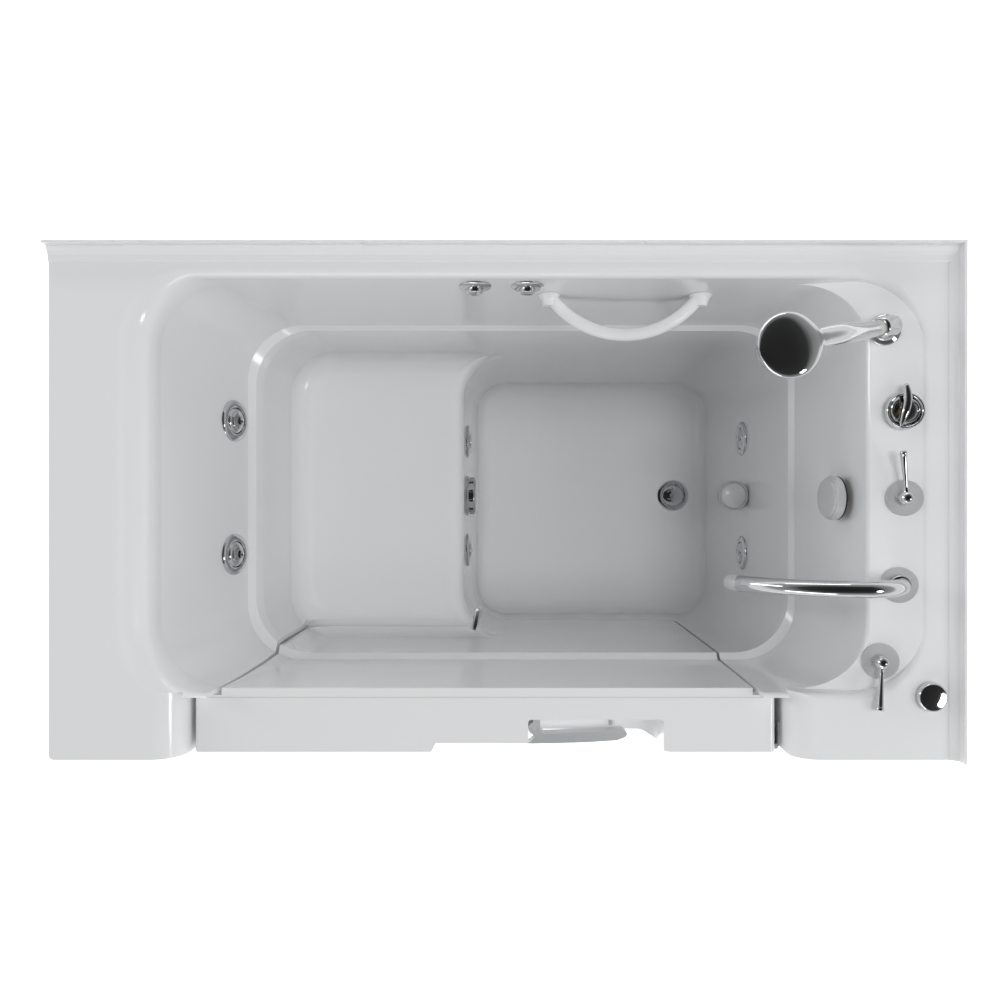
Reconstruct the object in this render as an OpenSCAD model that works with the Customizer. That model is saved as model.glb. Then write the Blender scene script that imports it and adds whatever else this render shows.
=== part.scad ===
// Walk-in jetted bathtub with a wide swing door, a moulded seat and a deep footwell.
// Frame: +X towards the tap end, +Y towards the wall behind, +Z up, origin under the middle.

/* [Overall size] */
// Length from end to end
tub_w = 1310; // [1300:5:1330]
// Depth from the front face to the back edge
tub_d = 742; // [738:1:750]
// Height of the deck above the floor the tub stands on
deck_h = 1010; // [1000:5:1030]
// Thickness of the acrylic shell
shell_t = 6; // [5:0.5:7]

/* [Deck and rim] */
// Deck width at the headrest end
deck_left = 86; // [80:1:92]
// Deck width beyond the tap platform
deck_right = 47; // [45:1:50]
// Deck width behind the basin, under the tile flange
deck_back = 33; // [31:1:36]
// Deck width in front of the basin
deck_front = 83; // [81:1:86]
// Corner radius of the basin at the rim
rim_r = 112; // [104:2:120]
// Radius of the rolled lip
lip_r = 14; // [10:1:16]
// Radius of the soft roll at the headrest
head_roll = 56; // [45:1:60]
// Length of the sloping platform that carries the taps
platform_w = 63; // [61:1:66]
// Slope of the tap platform in degrees
platform_tilt = 12; // [10:1:13]
// Radius of the rolled deck ends beside the door
end_roll = 45; // [35:1:50]
// Depth of the deck edge turned down at the ends and the back
lip_drop = 40; // [30:1:45]

/* [Basin] */
// Recline of the backrest in degrees
backrest_tilt = 19; // [17:0.5:21]
// Draft of the upper end wall in degrees
end_draft = 5.9; // [5:0.1:6.5]
// Draft of the upper back wall in degrees
back_draft = 4.1; // [3:0.1:5]
// Depth of the armrest ledge below the deck
ledge_depth = 265; // [262:1:280]
// Height of the sloping ledge
ledge_h = 25; // [20:1:30]
// Width of the ledge
ledge_w = 8; // [6:0.5:10]
// Height of the seat above the floor outside
seat_h = 510; // [500:2:520]
// Length of the seat from the backrest to its front edge
seat_l = 344; // [335:1:350]
// Radius between the seat and the walls
seat_r = 40; // [30:1:44]
// Radius of the seat's front edge
nose_r = 25; // [18:1:28]
// Draft of the riser under the seat in degrees
riser_draft = 3; // [2:0.5:4]
// Height of the footwell floor
floor_h = 115; // [111:1:120]
// Radius between the footwell floor and its walls
floor_r = 34; // [28:1:40]

/* [Tile flange] */
// Height of the flange above the deck
flange_h = 22; // [18:1:26]
// Width of the flange along the back
flange_w = 26; // [24:1:28]
// Width of the flange along the tap end
flange_end_w = 16; // [14:1:17]
// Thickness of the upstand
flange_t = 4; // [3:0.5:5]
// Radius of the wall screw holes
wall_hole_r = 2.6; // [2:0.1:3]
// Distance between the wall screw holes
wall_hole_pitch = 400; // [380:5:410]

/* [Door] */
// Distance of the door's top below the deck
door_drop = 40; // [36:1:46]
// Place of the latch edge of the door
door_x0 = -460; // [-464:1:-455]
// Place of the hinge edge of the door
door_x1 = 403.5; // [400:0.5:406]
// Place of the step in the door's lower edge
door_step_x = -84; // [-90:1:-80]
// Drop of the door's lower edge below the seat
door_seat_drop = 20; // [18:1:26]
// Drop of the door's lower edge below the sill
door_foot_drop = 25; // [20:1:35]
// Height of the sill in the footwell
sill_h = 265; // [255:1:275]
// Corner radius of the door
door_r = 26; // [18:1:30]
// Thickness of the door's skins
skin_t = 4; // [3:0.5:5]
// Gap around the door
door_gap = 5.5; // [5:0.1:6]
// Gap around the plug that closes the basin wall
plug_gap = 5; // [4.6:0.1:6]
// Thickness of the door seal
seal_t = 3.4; // [3:0.1:3.6]
// Depth of the shallow recess in the door's face
recess_d = 13; // [10:0.5:15]
// Depth of the finger pocket behind the door's face
pocket_d = 48; // [44:1:50]
// Length of the door lever
lever_l = 150; // [135:1:156]
// Height of the door lever
lever_h = 26; // [20:1:30]
// Radius of the door lever's spindle
spindle_r = 5; // [4:0.5:6]
// Radius of the crank that draws the bolts
crank_r = 18; // [15:1:19]
// Radius of the latch bolts
bolt_r = 6; // [5:0.5:7]
// Radius of the hinge barrel
barrel_r = 3.8; // [3.4:0.1:4]
// Radius of the hinge pin
hinge_pin_r = 1.9; // [1.6:0.1:2]
// Thickness of the hinge leaves
leaf_t = 1.5; // [1:0.1:1.8]
// Width of the hinge leaves
leaf_w = 34; // [24:1:38]
// Number of knuckles along the hinge
knuckles = 11; // [7:2:15]

/* [Jets and suction] */
// Radius of a jet's trim ring
jet_r = 35; // [32:0.5:38]
// Radius of a jet's turning face
jet_face_r = 22; // [20:0.5:23]
// Wall of a jet's body
jet_wall = 3; // [2:0.5:3.5]
// Depth of a jet's body behind the wall
jet_depth = 55; // [48:1:60]
// Radius of the nozzle hole in a jet's face
nozzle_r = 5.5; // [4:0.5:7]
// Radius of the suction cover
suction_r = 43; // [40:0.5:46]
// Height of the suction cover's drum
suction_drum = 16; // [12:1:18]
// Number of slots in the suction cover
suction_slots = 12; // [8:1:16]

/* [Taps and fittings] */
// Radius of the round cover plates
plate_r = 26; // [24:0.5:26]
// Thickness of the round cover plates
plate_t = 4; // [3:0.5:5]
// Radius of the valve stems
stem_r = 6; // [5:0.5:7]
// Radius of the ball on a tap lever
ball_r = 10.5; // [10:0.5:12]
// Length of a tap lever's arm
arm_l = 65; // [55:1:68]
// Radius of the water inlets' threaded tails
inlet_r = 10.5; // [9:0.5:11]
// Outer radius of the spout's tube
spout_r = 12; // [10:0.5:13]
// Radius of the diverter's dial
dial_r = 27; // [24:0.5:27]
// Radius of the air control knob
air_knob_r = 21; // [18:0.5:22]
// Radius of the hand shower's head
shower_r = 43; // [38:0.5:46]
// Length of the hand shower's handle
handle_l = 190; // [180:1:200]
// Radius of the handle where it seats in its holder
handle_r = 11; // [9:0.5:12]
// Radius of the overflow knob
overflow_r = 34; // [30:0.5:36]
// Radius of the drain's visible ring
drain_r = 38; // [36:0.5:40]
// Radius of the drain plug
plug_r = 26.5; // [25:0.5:27]
// Outer radius of the waste tail that leaves the tub
tail_r = 19; // [17:0.5:20]
// Radius of a push button
button_r = 11; // [9:0.5:12]
// Radius of the grab bar's tube
grab_r = 10; // [9:0.5:11]
// Reach of the grab bar from the wall
grab_reach = 61; // [55:1:65]
// Span between the grab bar's ends
grab_span = 233; // [220:1:240]
// Radius of the light's ring
light_r = 29.5; // [27:0.5:31]
// Reach of the light's middle from the end wall
light_reach = 29.5; // [28.5:0.5:33]

/* [Frame and pump] */
// Size of the frame's square tubes
rail = 40; // [35:1:40]
// Size of the posts' square tubes
post = 30; // [25:1:30]
// Wall of the frame's tubes
tube_t = 2.5; // [2:0.5:3]
// Radius of a levelling foot
foot_r = 26; // [20:1:30]
// Thickness of the removable panels
panel_t = 6; // [5:0.5:6]
// Height of the panels' lower edge
panel_z = 30; // [25:1:40]
// Radius of the pump motor
motor_r = 68; // [60:1:72]
// Length of the pump motor
motor_l = 210; // [180:5:220]
// Radius of the pump's volute
volute_r = 78; // [70:1:80]
// Radius of the water pipes
pipe_r = 14; // [12:0.5:14]
// Radius of the suction pipe
suction_pipe_r = 24; // [20:0.5:24]
// Radius of the air tubes
air_r = 6; // [4:0.5:6]

/* [Hidden] */

// Colours
acrylic = [0.93, 0.94, 0.95];
chrome = [0.78, 0.79, 0.81];
grey_plastic = [0.35, 0.36, 0.38];
zinc = [0.62, 0.64, 0.66];
rubber = [0.12, 0.12, 0.13];
pvc = [0.88, 0.88, 0.85];
motor_blue = [0.25, 0.28, 0.33];
lens_grey = [0.82, 0.84, 0.86];

// Small values used throughout
seat_clear = 0.3;
run_clear = 0.05;
through = 1;
roll_rise = 0.4;
fine = 64;
coarse = 32;
corner_steps = 6;
elbow_share = 1.45;
tee_share = 1.5;

// Plan of the tub and its rim
half_w = tub_w / 2;
half_d = tub_d / 2;
front_y = -half_d;
rim_x0 = -half_w + deck_left;
platform_x1 = half_w - deck_right;
rim_x1 = platform_x1 - platform_w;
rim_y0 = front_y + deck_front;
rim_y1 = half_d - deck_back;
front_lip = lip_r - 2;
platform_step = 2;
platform_corner = rim_r - 8;

// Drafts of the lower walls, in degrees
front_draft = 0.5;
low_end_draft = 0.4;
low_back_draft = 1.2;
low_front_draft = 1;
low_corner_taper = 25;

// Depths below the deck
ledge_foot = ledge_depth + ledge_h;
seat_depth = deck_h - seat_h;
floor_depth = deck_h - floor_h;
mid_roll = head_roll / 2 + 4;

// Places of the basin's inner walls at a depth below the deck
function head_x(d) = d <= ledge_depth ? rim_x0 + head_roll + (d - head_roll) * tan(backrest_tilt)
    : head_x(ledge_depth) + ledge_w + min(d - ledge_depth, ledge_h) * tan(backrest_tilt)
        + max(d - ledge_foot, 0) * tan(2);
function end_x(d) = d <= ledge_depth ? rim_x1 - lip_r - (d - lip_r) * tan(end_draft)
    : end_x(ledge_depth) - ledge_w - (d - ledge_foot) * tan(low_end_draft);
function back_y(d) = d <= ledge_depth ? rim_y1 - lip_r - (d - lip_r) * tan(back_draft)
    : back_y(ledge_depth) - ledge_w - (d - ledge_foot) * tan(low_back_draft);
function front_wall_y(d) = d <= ledge_depth ? rim_y0 + front_lip + (d - lip_r) * tan(front_draft)
    : front_wall_y(ledge_depth) + ledge_w + 2 - (d - ledge_foot) * tan(low_front_draft);
function corner_r(d) = d <= ledge_foot ? rim_r - lip_r - 3 * d / ledge_foot
    : rim_r - lip_r - 3 - low_corner_taper * (d - ledge_foot) / (floor_depth - ledge_foot);
seat_front_x = head_x(ledge_foot) + seat_l;
function riser_x(d) = seat_front_x + (d - seat_depth) * tan(riser_draft);

// A section is [depth, x0, x1, y0, y1, corner radius]
function lip_section(a) = let(d = lip_r * (1 - cos(a)), s = sin(a))
    [d, rim_x0 + sqrt(head_roll * head_roll - pow(head_roll - d, 2)), rim_x1 - lip_r * s,
        rim_y0 + front_lip * s, rim_y1 - lip_r * s, rim_r - lip_r * s];
function wall_section(d) = [d, head_x(d), end_x(d), front_wall_y(d), back_y(d), corner_r(d)];
function roll_section(d) = [d, rim_x0 + sqrt(head_roll * head_roll - pow(head_roll - d, 2)),
    end_x(d), front_wall_y(d), back_y(d), corner_r(d)];
function inset(s, a, r) = [s[0] + r * sin(a), s[1] + r * (1 - cos(a)),
    s[2] - r * (1 - cos(a)), s[3] + r * (1 - cos(a)), s[4] - r * (1 - cos(a)),
    s[5] - r * (1 - cos(a)) / 2];
function well_section(d, x0) = [d, x0, end_x(d), front_wall_y(d), back_y(d), corner_r(d)];

seat_start = wall_section(seat_depth - seat_r);
bowl_sections = concat([for (a = [0, 30, 60, 90]) lip_section(a)],
    [roll_section(mid_roll)], [for (d = [head_roll, ledge_depth, ledge_foot]) wall_section(d)],
    [for (a = [0, 30, 60, 90]) inset(seat_start, a, seat_r)]);
// The footwell starts inside the bowl and leaves its walls where the seat's radius begins
well_x0 = seat_front_x - nose_r;
well_start = well_section(seat_depth - seat_r, well_x0);
floor_start = well_section(floor_depth - floor_r, riser_x(floor_depth - floor_r));
well_sections = concat([well_start + [-12, 0, -3, 3, -3, 0], well_start],
    [for (a = [90, 60, 30, 0]) let(d = seat_depth + nose_r * (1 - sin(a)))
        well_section(d, riser_x(d) - nose_r * (1 - cos(a)))],
    [for (a = [0, 30, 60, 90]) inset(floor_start, a, floor_r)]);

// Door and plug outlines
door_top = deck_h - door_drop;
door_seat_z = seat_h - door_seat_drop;
door_foot_z = sill_h - door_foot_drop;
door_back_y = rim_y0 + front_lip - shell_t - seat_clear * 2 - seal_t;
frame_y = rim_y0 + front_lip - shell_t;
plate_y = door_back_y - skin_t;
jamb_x1 = door_x1 + 9;
open_top = deck_h + 40;
plug_in_y = rim_y0 + front_lip + 26;
step_ease = 2.6;
// The plug's edges: top left, ledge left, step, right at the top, the ledge and the sill
plug_top_x0 = door_x0 + 36;
plug_ledge_x0 = door_x0 + 68;
plug_step_x = door_step_x + 24;
plug_top_x1 = door_x1 - 29.5;
plug_ledge_x1 = door_x1 - 26.5;
plug_sill_x1 = door_x1 - 9.5;
ledge_z = deck_h - ledge_foot;

// Hinge axis and door lever
hinge_x = (door_x1 + jamb_x1) / 2;
hinge_y = front_y + barrel_r + 0.2;
hinge_z0 = door_foot_z + 20;
hinge_z1 = door_top - 15;
recess_x0 = -108;
recess_x1 = 247;
recess_sweep = 38;
recess_z = deck_h - 410;
pocket_x0 = 36;
pocket_x1 = 237;
pocket_z = deck_h - 122;
pocket_r = 7;
lever_x = pocket_x0 + 10;
lever_y = front_y + recess_d + skin_t + spindle_r + 5;
lever_z = pocket_z + 31;
crank_z = pocket_z - 24;
rod_z = crank_z + 12;
bolt_y = lever_y + crank_r;
bolt_bar_x = door_x0 + 130;
bolt_top_z = rod_z;
bolt_low_z = seat_h + 50;

// Fittings: middle line of the basin and places along the deck
mid_y = 12;
tap_x = platform_x1 - 29;
spout_x = platform_x1 - 36;
hot_y = 6;
cold_x = platform_x1 - 61;
cold_y = rim_y0 + 57;
spout_y = cold_y + 111;
dial_x = platform_x1 - 30;
dial_y = rim_y1 - 207;
holder_x = platform_x1 - 55;
holder_y = rim_y1 - 88;
air_x = platform_x1 + 4;
air_y = rim_y0 + 9;
valve_r = 14;
valve_l = 70;
air_body_l = 68;
mixing_z = deck_h - valve_l + 5;
copper_r = 6;
grab_x = 186;
grab_depth = 90;
button_depth = 45;
button_xs = [-43, 35];
overflow_depth = 90;
drain_x = end_x(floor_depth) - floor_r - drain_r - 0.8;
drain_y = 14;
suction_depth = seat_depth + 100;
light_depth = seat_depth + 10;
light_lean = 62;
light_neck_r = 9.7;
light_neck_drop = 8;
light_seat = 8;

// Jets: [x, y, depth, tilt of the outward normal above the horizontal, side]
jet_pitch = 115;
back_jet_depth = 222;
back_jet_mid = 24;
back_jet_pitch = 113;
riser_jet_depth = seat_depth + 100;
end_jet_depth = seat_depth + 50;
function back_jet(s) = [head_x(back_jet_depth), back_jet_mid + s * back_jet_pitch, back_jet_depth,
    backrest_tilt, 1];
function riser_jet(s) = [riser_x(riser_jet_depth), mid_y + s * jet_pitch, riser_jet_depth,
    riser_draft, 1];
function end_jet(s) = [end_x(end_jet_depth), mid_y + s * (jet_pitch + 3), end_jet_depth,
    low_end_draft, -1];
jets = [back_jet(1), back_jet(-1), riser_jet(1), riser_jet(-1), end_jet(1), end_jet(-1)];
function jet_point(j, back) = [j[0] - j[4] * cos(j[3]) * back, j[1],
    deck_h - j[2] - sin(j[3]) * back];

// Place of the jets' and the suction's flanges behind the walls, of which the riser leans most
flange_back = shell_t * (1 + sin(riser_draft)) + seat_clear;

// Frame levels
rail_z1 = floor_h - shell_t;
rail_z0 = rail_z1 - rail;
frame_x = half_w - panel_t - seat_clear;
frame_y0 = front_y + shell_t + seat_clear;
frame_y1 = half_d - shell_t - 1;
tray_t = 8;
tray_z1 = rail_z1 + tray_t;
seat_under = seat_h - shell_t;
foot_xs = [-frame_x + rail / 2, 0, frame_x - rail / 2];
panel_seat_z = door_seat_z - door_gap - shell_t - 4;
panel_sill_z = door_foot_z - door_gap - shell_t - 2;
panel_step_x = door_step_x - door_gap - shell_t - 2;

// Pump and pipe runs
pump_y = -60;
pump_z = tray_z1 + volute_r + 6;
outlet_l = volute_r + 22;
mid_run_x = seat_front_x - 210;
volute_x0 = mid_run_x - 40;
volute_x1 = mid_run_x + 40;
run_z = deck_h - end_jet_depth;
stub_l = jet_depth + shell_t + seat_clear;
lead_l = stub_l + 28;
left_run_x = jet_point(jets[0], lead_l)[0];
back_run_y = half_d - 37;
right_run_x = jet_point(jets[4], lead_l)[0] + 9.5;
suction_z = deck_h - suction_depth;

// Hand shower direction, from its holder to its head
shower_dir = [-190, -49, 120];
shower_axis = shower_dir / norm(shower_dir);
shower_turn = atan2(shower_dir[1], shower_dir[0]);
shower_lean = acos(shower_axis[2]);
socket_l = 34;
socket_wall = 4;
socket_foot = 10;
holder_h = 30;

// Outline helpers

function unit(v) = v / norm(v);
function arc_points(a, p, b, r, n) = let(u = unit(a - p), v = unit(b - p), half = acos(u * v) / 2,
    c = p + unit(u + v) * r / sin(half), s = p + u * r / tan(half) - c,
    e = p + v * r / tan(half) - c, a0 = atan2(s[1], s[0]), turn = atan2(e[1], e[0]) - a0,
    t = turn > 180 ? turn - 360 : turn < -180 ? turn + 360 : turn)
    [for (i = [0:n]) c + r * [cos(a0 + t * i / n), sin(a0 + t * i / n)]];
function rounded(p, radii, n = 5) = [for (i = [0:len(p) - 1])
    let(a = p[(i + len(p) - 1) % len(p)], b = p[(i + 1) % len(p)])
    each radii[i] == 0 ? [p[i]] : arc_points(a, p[i], b, radii[i], n)];

// The door's L-shaped outline grown by g, and by h at the hinge side, up to z.
// The doorway's corner is tighter under the hinge, and the door's step is eased, for the swing.
function door_outline(g, h, z, r) = let(step = door_step_x + (g > 0 ? 0 : step_ease))
    rounded([[step - g, door_foot_z - g],
    [door_x1 + h, door_foot_z - g], [door_x1 + h, z], [door_x0 - g, z],
    [door_x0 - g, door_seat_z - g], [step - g, door_seat_z - g]],
    [r, h > 0 ? r - 8 : r, z > deck_h ? 0 : r / 3, z > deck_h ? 0 : r / 3, r, r]);

// Place of the plug's latch side (0) or hinge side (1) at a height above the ledge
function plug_side(side, z) = let(t = (z - ledge_z) / (door_top - ledge_z))
    side == 0 ? plug_ledge_x0 + (plug_top_x0 - plug_ledge_x0) * t
    : plug_ledge_x1 + (plug_top_x1 - plug_ledge_x1) * t;

// The plug's outline grown by g, up to z
function plug_outline(g, z) = let(step = plug_step_x + (g < 0 ? step_ease : 0))
    rounded([[step - g, sill_h - g],
    [plug_sill_x1 + g, sill_h - g], [plug_ledge_x1 + g, ledge_z], [plug_side(1, z) + g, z],
    [plug_side(0, z) - g, z], [plug_ledge_x0 - g, ledge_z], [plug_ledge_x0 - g, seat_h - g],
    [step - g, seat_h - g]], [door_r, door_r, 0, 0, 0, 0, door_r, door_r / 2]);

// Plan of the recess and the finger pocket in the door's face, shrunk by g
function recess_plan(g) = concat([[recess_x0 - g, front_y - 20], [recess_x1 + g, front_y - 20]],
    [for (i = [0:8]) let(t = i / 8, y = front_y + recess_d * (1 - cos(180 * t)) / 2)
        [recess_x1 + g - recess_sweep * t, y + g * (1 + t) / 2]],
    [[recess_x0 + recess_d / 2 - g, front_y + recess_d + g], [recess_x0 - g, front_y + g]]);
function pocket_plan(g) = [[pocket_x0 - g, front_y - 40], [pocket_x1 + g, front_y - 40],
    [pocket_x1 + g, front_y + pocket_d + g], [pocket_x0 - g, front_y + pocket_d + g]];

// Solid helpers

// Points round a section grown by o, anticlockwise from above.
// Sections under the ledge also move down by o.
function ring_points(s, o) = let(z = deck_h - s[0] - (s[0] > ledge_foot ? o : 0), r = s[5],
    mids = [[s[2] - r, s[4] - r], [s[1] + r, s[4] - r], [s[1] + r, s[3] + r], [s[2] - r, s[3] + r]])
    [for (k = [0:3], i = [0:corner_steps]) let(a = 90 * (k + i / corner_steps))
        [mids[k][0] + (r + o) * cos(a), mids[k][1] + (r + o) * sin(a), z]];

// Closed skin through a list of sections from the top down
module loft(sections, o = 0) {
    n = 4 * (corner_steps + 1);
    last = (len(sections) - 1) * n;
    polyhedron(points = [for (s = sections) each ring_points(s, o)],
        faces = concat([[for (i = [n - 1:-1:0]) i]], [[for (i = [0:n - 1]) last + i]],
            [for (k = [0:len(sections) - 2], i = [0:n - 1]) let(a = k * n + i,
                b = k * n + (i + 1) % n) each [[a, b, b + n], [a, b + n, a + n]]]));
}

// Solid between two depths of Y whose outline lies in X and Z
module upright(points, y0, y1) {
    translate([0, y1, 0]) rotate([90, 0, 0]) linear_extrude(y1 - y0) polygon(points);
}

module ring(outer, inner, h, n = fine) {
    difference() {
        cylinder(r = outer, h = h, $fn = n);
        translate([0, 0, -through]) cylinder(r = inner, h = h + 2 * through, $fn = n);
    }
}

module square_tube(size) {
    difference() {
        cube(size);
        inner = [for (v = size) v == max(size) ? v + 2 : v - 2 * tube_t];
        translate((size - inner) / 2) cube(inner);
    }
}

// A straight round run from a to b
module run(a, b, r) {
    v = b - a;
    translate(a) rotate([0, acos(v[2] / norm(v)), atan2(v[1], v[0])])
        cylinder(r = r, h = norm(v), $fn = coarse);
}

// Angles that turn +X and +Z onto two square directions
function turn_to(x, z) = let(y = cross(z, x)) [atan2(y[2], z[2]), -asin(x[2]), atan2(x[1], x[0])];

// A ball that joins two pipes leaving it along u and v
module elbow(p, u, v, r) {
    translate(p) rotate(turn_to(-unit(u + v), unit(cross(u, v))))
        sphere(r = r * elbow_share, $fn = coarse);
}

// A sleeve on a pipe running along one direction, with a branch along the other
module tee(p, along, branch, r) {
    translate(p) rotate(turn_to(-branch, along)) translate([0, 0, -tee_share * r])
        cylinder(r = tee_share * r, h = 2 * tee_share * r, $fn = coarse);
}

// A pipe with a ball at each corner, whose first end may lie in a tee of another pipe
module pipe(points, r, from_tee = false) {
    n = len(points) - 1;
    for (i = [0:n - 1]) let(u = unit(points[i + 1] - points[i]) * r * 1.02)
        run(points[i] + (i > 0 || from_tee ? u : 0 * u),
            points[i + 1] - (i < n - 1 ? u : 0 * u), r);
    if (n > 1) for (i = [1:n - 1])
        elbow(points[i], unit(points[i - 1] - points[i]), unit(points[i + 1] - points[i]), r);
}

// Places a child on the tap platform, on a jet, on the back wall or on the end wall.
// The child's +Z then leaves the surface.
module on_platform(x, y) {
    translate([platform_x1, y, deck_h - platform_step]) rotate([0, -platform_tilt, 0])
        translate([(x - platform_x1) / cos(platform_tilt), 0, 0]) children();
}

module on_jet(j) {
    translate([j[0], j[1], deck_h - j[2]]) rotate([0, j[4] * (90 - j[3]), 0]) children();
}

module on_back_wall(x, d) {
    translate([x, back_y(d), deck_h - d]) rotate([90 - back_draft, 0, 0]) children();
}

module on_end_wall(y, d) {
    translate([end_x(d), y, deck_h - d]) rotate([0, end_draft - 90, 0]) children();
}

// Light on the end wall: +X then runs up the wall and +Z leaves it
module on_light() {
    translate([end_x(light_depth), mid_y, deck_h - light_depth])
        rotate([0, low_end_draft - 90, 0]) children();
}

module on_riser(y, d) {
    translate([riser_x(d), y, deck_h - d]) rotate([0, 90 - riser_draft, 0]) children();
}

// Quarter bend of tube in the XZ plane that leaves +Z and turns towards -X
module bend(turn_r, angle, r) {
    translate([-turn_r, 0, 0]) rotate([90, 0, 0]) rotate_extrude(angle = angle, $fn = fine)
        translate([turn_r, 0]) circle(r = r, $fn = coarse);
}

module past_bend(turn_r, angle) {
    translate([-turn_r, 0, 0]) rotate([0, -angle, 0]) translate([turn_r, 0, 0]) children();
}

// Shell

// The space that holds the bather and the water
module basin_space() {
    loft(concat([bowl_sections[0] - [through, 0, 0, 0, 0, 0]], bowl_sections));
    loft(well_sections);
}

module platform_block(o, z0, z1) {
    translate([platform_x1, 0, deck_h - platform_step]) rotate([0, -platform_tilt, 0])
        translate([0, 0, z0]) linear_extrude(z1 - z0) {
            translate([-platform_corner, rim_y0 + platform_corner])
                circle(r = platform_corner + o, $fn = fine);
            translate([-platform_corner, rim_y1 - platform_corner])
                circle(r = platform_corner + o, $fn = fine);
            translate([-platform_corner, rim_y0 - o])
                square([1, rim_y1 - rim_y0 + 2 * o]);
            translate([-platform_corner - 28, rim_y0 - o])
                square([28.5, rim_y1 - rim_y0 + 2 * o]);
            translate([-platform_corner, rim_y0 + platform_corner])
                square([platform_corner + o, rim_y1 - rim_y0 - 2 * platform_corner]);
        }
}

module deck_end(x, side) {
    // Waste that is cut away to roll the deck's end down to the door
    reach = end_roll - roll_rise;
    translate([x + side * reach, front_y - 5, deck_h - reach]) difference() {
        translate([side > 0 ? -reach - 1 : 0, 0, 0])
            cube([reach + 1, rim_y0 - front_y + 18, reach + 5]);
        translate([0, -1, 0]) rotate([-90, 0, 0])
            cylinder(r = end_roll, h = rim_y0 - front_y + 22, $fn = fine);
    }
}

module shell_holes() {
    for (j = jets) on_jet(j) translate([0, 0, -30])
        cylinder(r = jet_face_r + jet_wall + seat_clear, h = 40, $fn = coarse);
    on_riser(mid_y, suction_depth) translate([0, 0, -30])
        cylinder(r = suction_pipe_r + 3.5, h = 40, $fn = coarse);
    translate([drain_x, drain_y, floor_h - 20]) cylinder(r = plug_r + 3.5, h = 30, $fn = coarse);
    on_end_wall(mid_y - 6, overflow_depth) translate([0, 0, -30])
        cylinder(r = 15, h = 40, $fn = coarse);
    for (x = button_xs) on_back_wall(x, button_depth) translate([0, 0, -30])
        cylinder(r = button_r + 3, h = 40, $fn = coarse);
    for (s = [-1, 1]) on_back_wall(grab_x + s * grab_span / 2, grab_depth)
        translate([0, 0, -30]) cylinder(r = 4, h = 40, $fn = coarse);
    for (p = [[tap_x, hot_y], [cold_x, cold_y], [spout_x, spout_y], [dial_x, dial_y],
        [holder_x, holder_y]]) on_platform(p[0], p[1]) translate([0, 0, -15])
            cylinder(r = valve_r + seat_clear, h = 20, $fn = coarse);
    translate([air_x, air_y, deck_h - 20])
        cylinder(r = valve_r + seat_clear, h = 30, $fn = coarse);
    on_light() translate([-light_neck_drop, 0, -30])
        cylinder(r = light_neck_r + seat_clear, h = 40, $fn = coarse);
}

module tub_shell() color(acrylic) difference() {
    union() {
        translate([-half_w, -half_d, deck_h - shell_t]) cube([tub_w, tub_d, shell_t]);
        intersection() {
            platform_block(shell_t, -shell_t, 30);
            translate([-half_w, -half_d, 0]) cube([tub_w, tub_d, deck_h]);
        }
        loft(bowl_sections, shell_t);
        loft(well_sections, shell_t);
        // Edges turned down at the ends and the back
        for (x = [-half_w, half_w - shell_t])
            translate([x, -half_d, deck_h - lip_drop]) cube([shell_t, tub_d, lip_drop]);
        translate([-half_w, half_d - shell_t, deck_h - lip_drop])
            cube([tub_w, shell_t, lip_drop]);
        // Front faces of the two pillars beside the door
        translate([-half_w, front_y, panel_seat_z + 2])
            cube([door_x0 - door_gap + half_w, shell_t, deck_h - panel_seat_z - 2]);
        translate([jamb_x1, front_y, panel_sill_z + 2])
            cube([half_w - jamb_x1, shell_t, deck_h - panel_sill_z - 2]);
        translate([half_w - shell_t, front_y, panel_sill_z + 2])
            cube([shell_t, 60, deck_h - panel_sill_z - 2]);
        // Jamb around the door, the rebate behind it and the collar around the plug
        upright(door_outline(door_gap + shell_t, jamb_x1 - door_x1 + shell_t, deck_h - 0.5,
            door_r + 8), front_y, frame_y + shell_t);
        upright(plug_outline(12, deck_h - 1), frame_y, plug_in_y);
        translate([plug_ledge_x0 - 6, frame_y, seat_under])
            cube([plug_step_x - plug_ledge_x0 + 12, 62, shell_t]);
        // Rolled ends of the deck
        for (e = [[door_x0 - door_gap, -1], [jamb_x1, 1]])
            translate([e[0] + (e[1] < 0 ? -end_roll : 0), front_y, deck_h - end_roll])
                cube([end_roll, rim_y0 + front_lip - front_y, end_roll]);
    }
    basin_space();
    platform_block(0, 0, 40);
    upright(door_outline(door_gap, jamb_x1 - door_x1, open_top, door_r + 4),
        front_y - 5, frame_y);
    upright(plug_outline(0, open_top), frame_y - 2, plug_in_y + 14);
    deck_end(door_x0 - door_gap, -1);
    deck_end(jamb_x1, 1);
    // Hollow under the rolled ends
    for (e = [[door_x0 - door_gap - end_roll, -1], [jamb_x1 + end_roll, 1]])
        translate([e[0], front_y + shell_t, deck_h - end_roll]) rotate([-90, 0, 0])
            cylinder(r = end_roll - shell_t, h = frame_y - front_y - shell_t, $fn = fine);
    // Rounded edge of the pillar beside the hinge
    translate([jamb_x1 - 0.01, front_y - 0.01, panel_sill_z]) difference() {
        cube([8, 8, deck_h]);
        translate([8, 8, -1]) cylinder(r = 8, h = deck_h + 2, $fn = coarse);
    }
    shell_holes();
}

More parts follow.
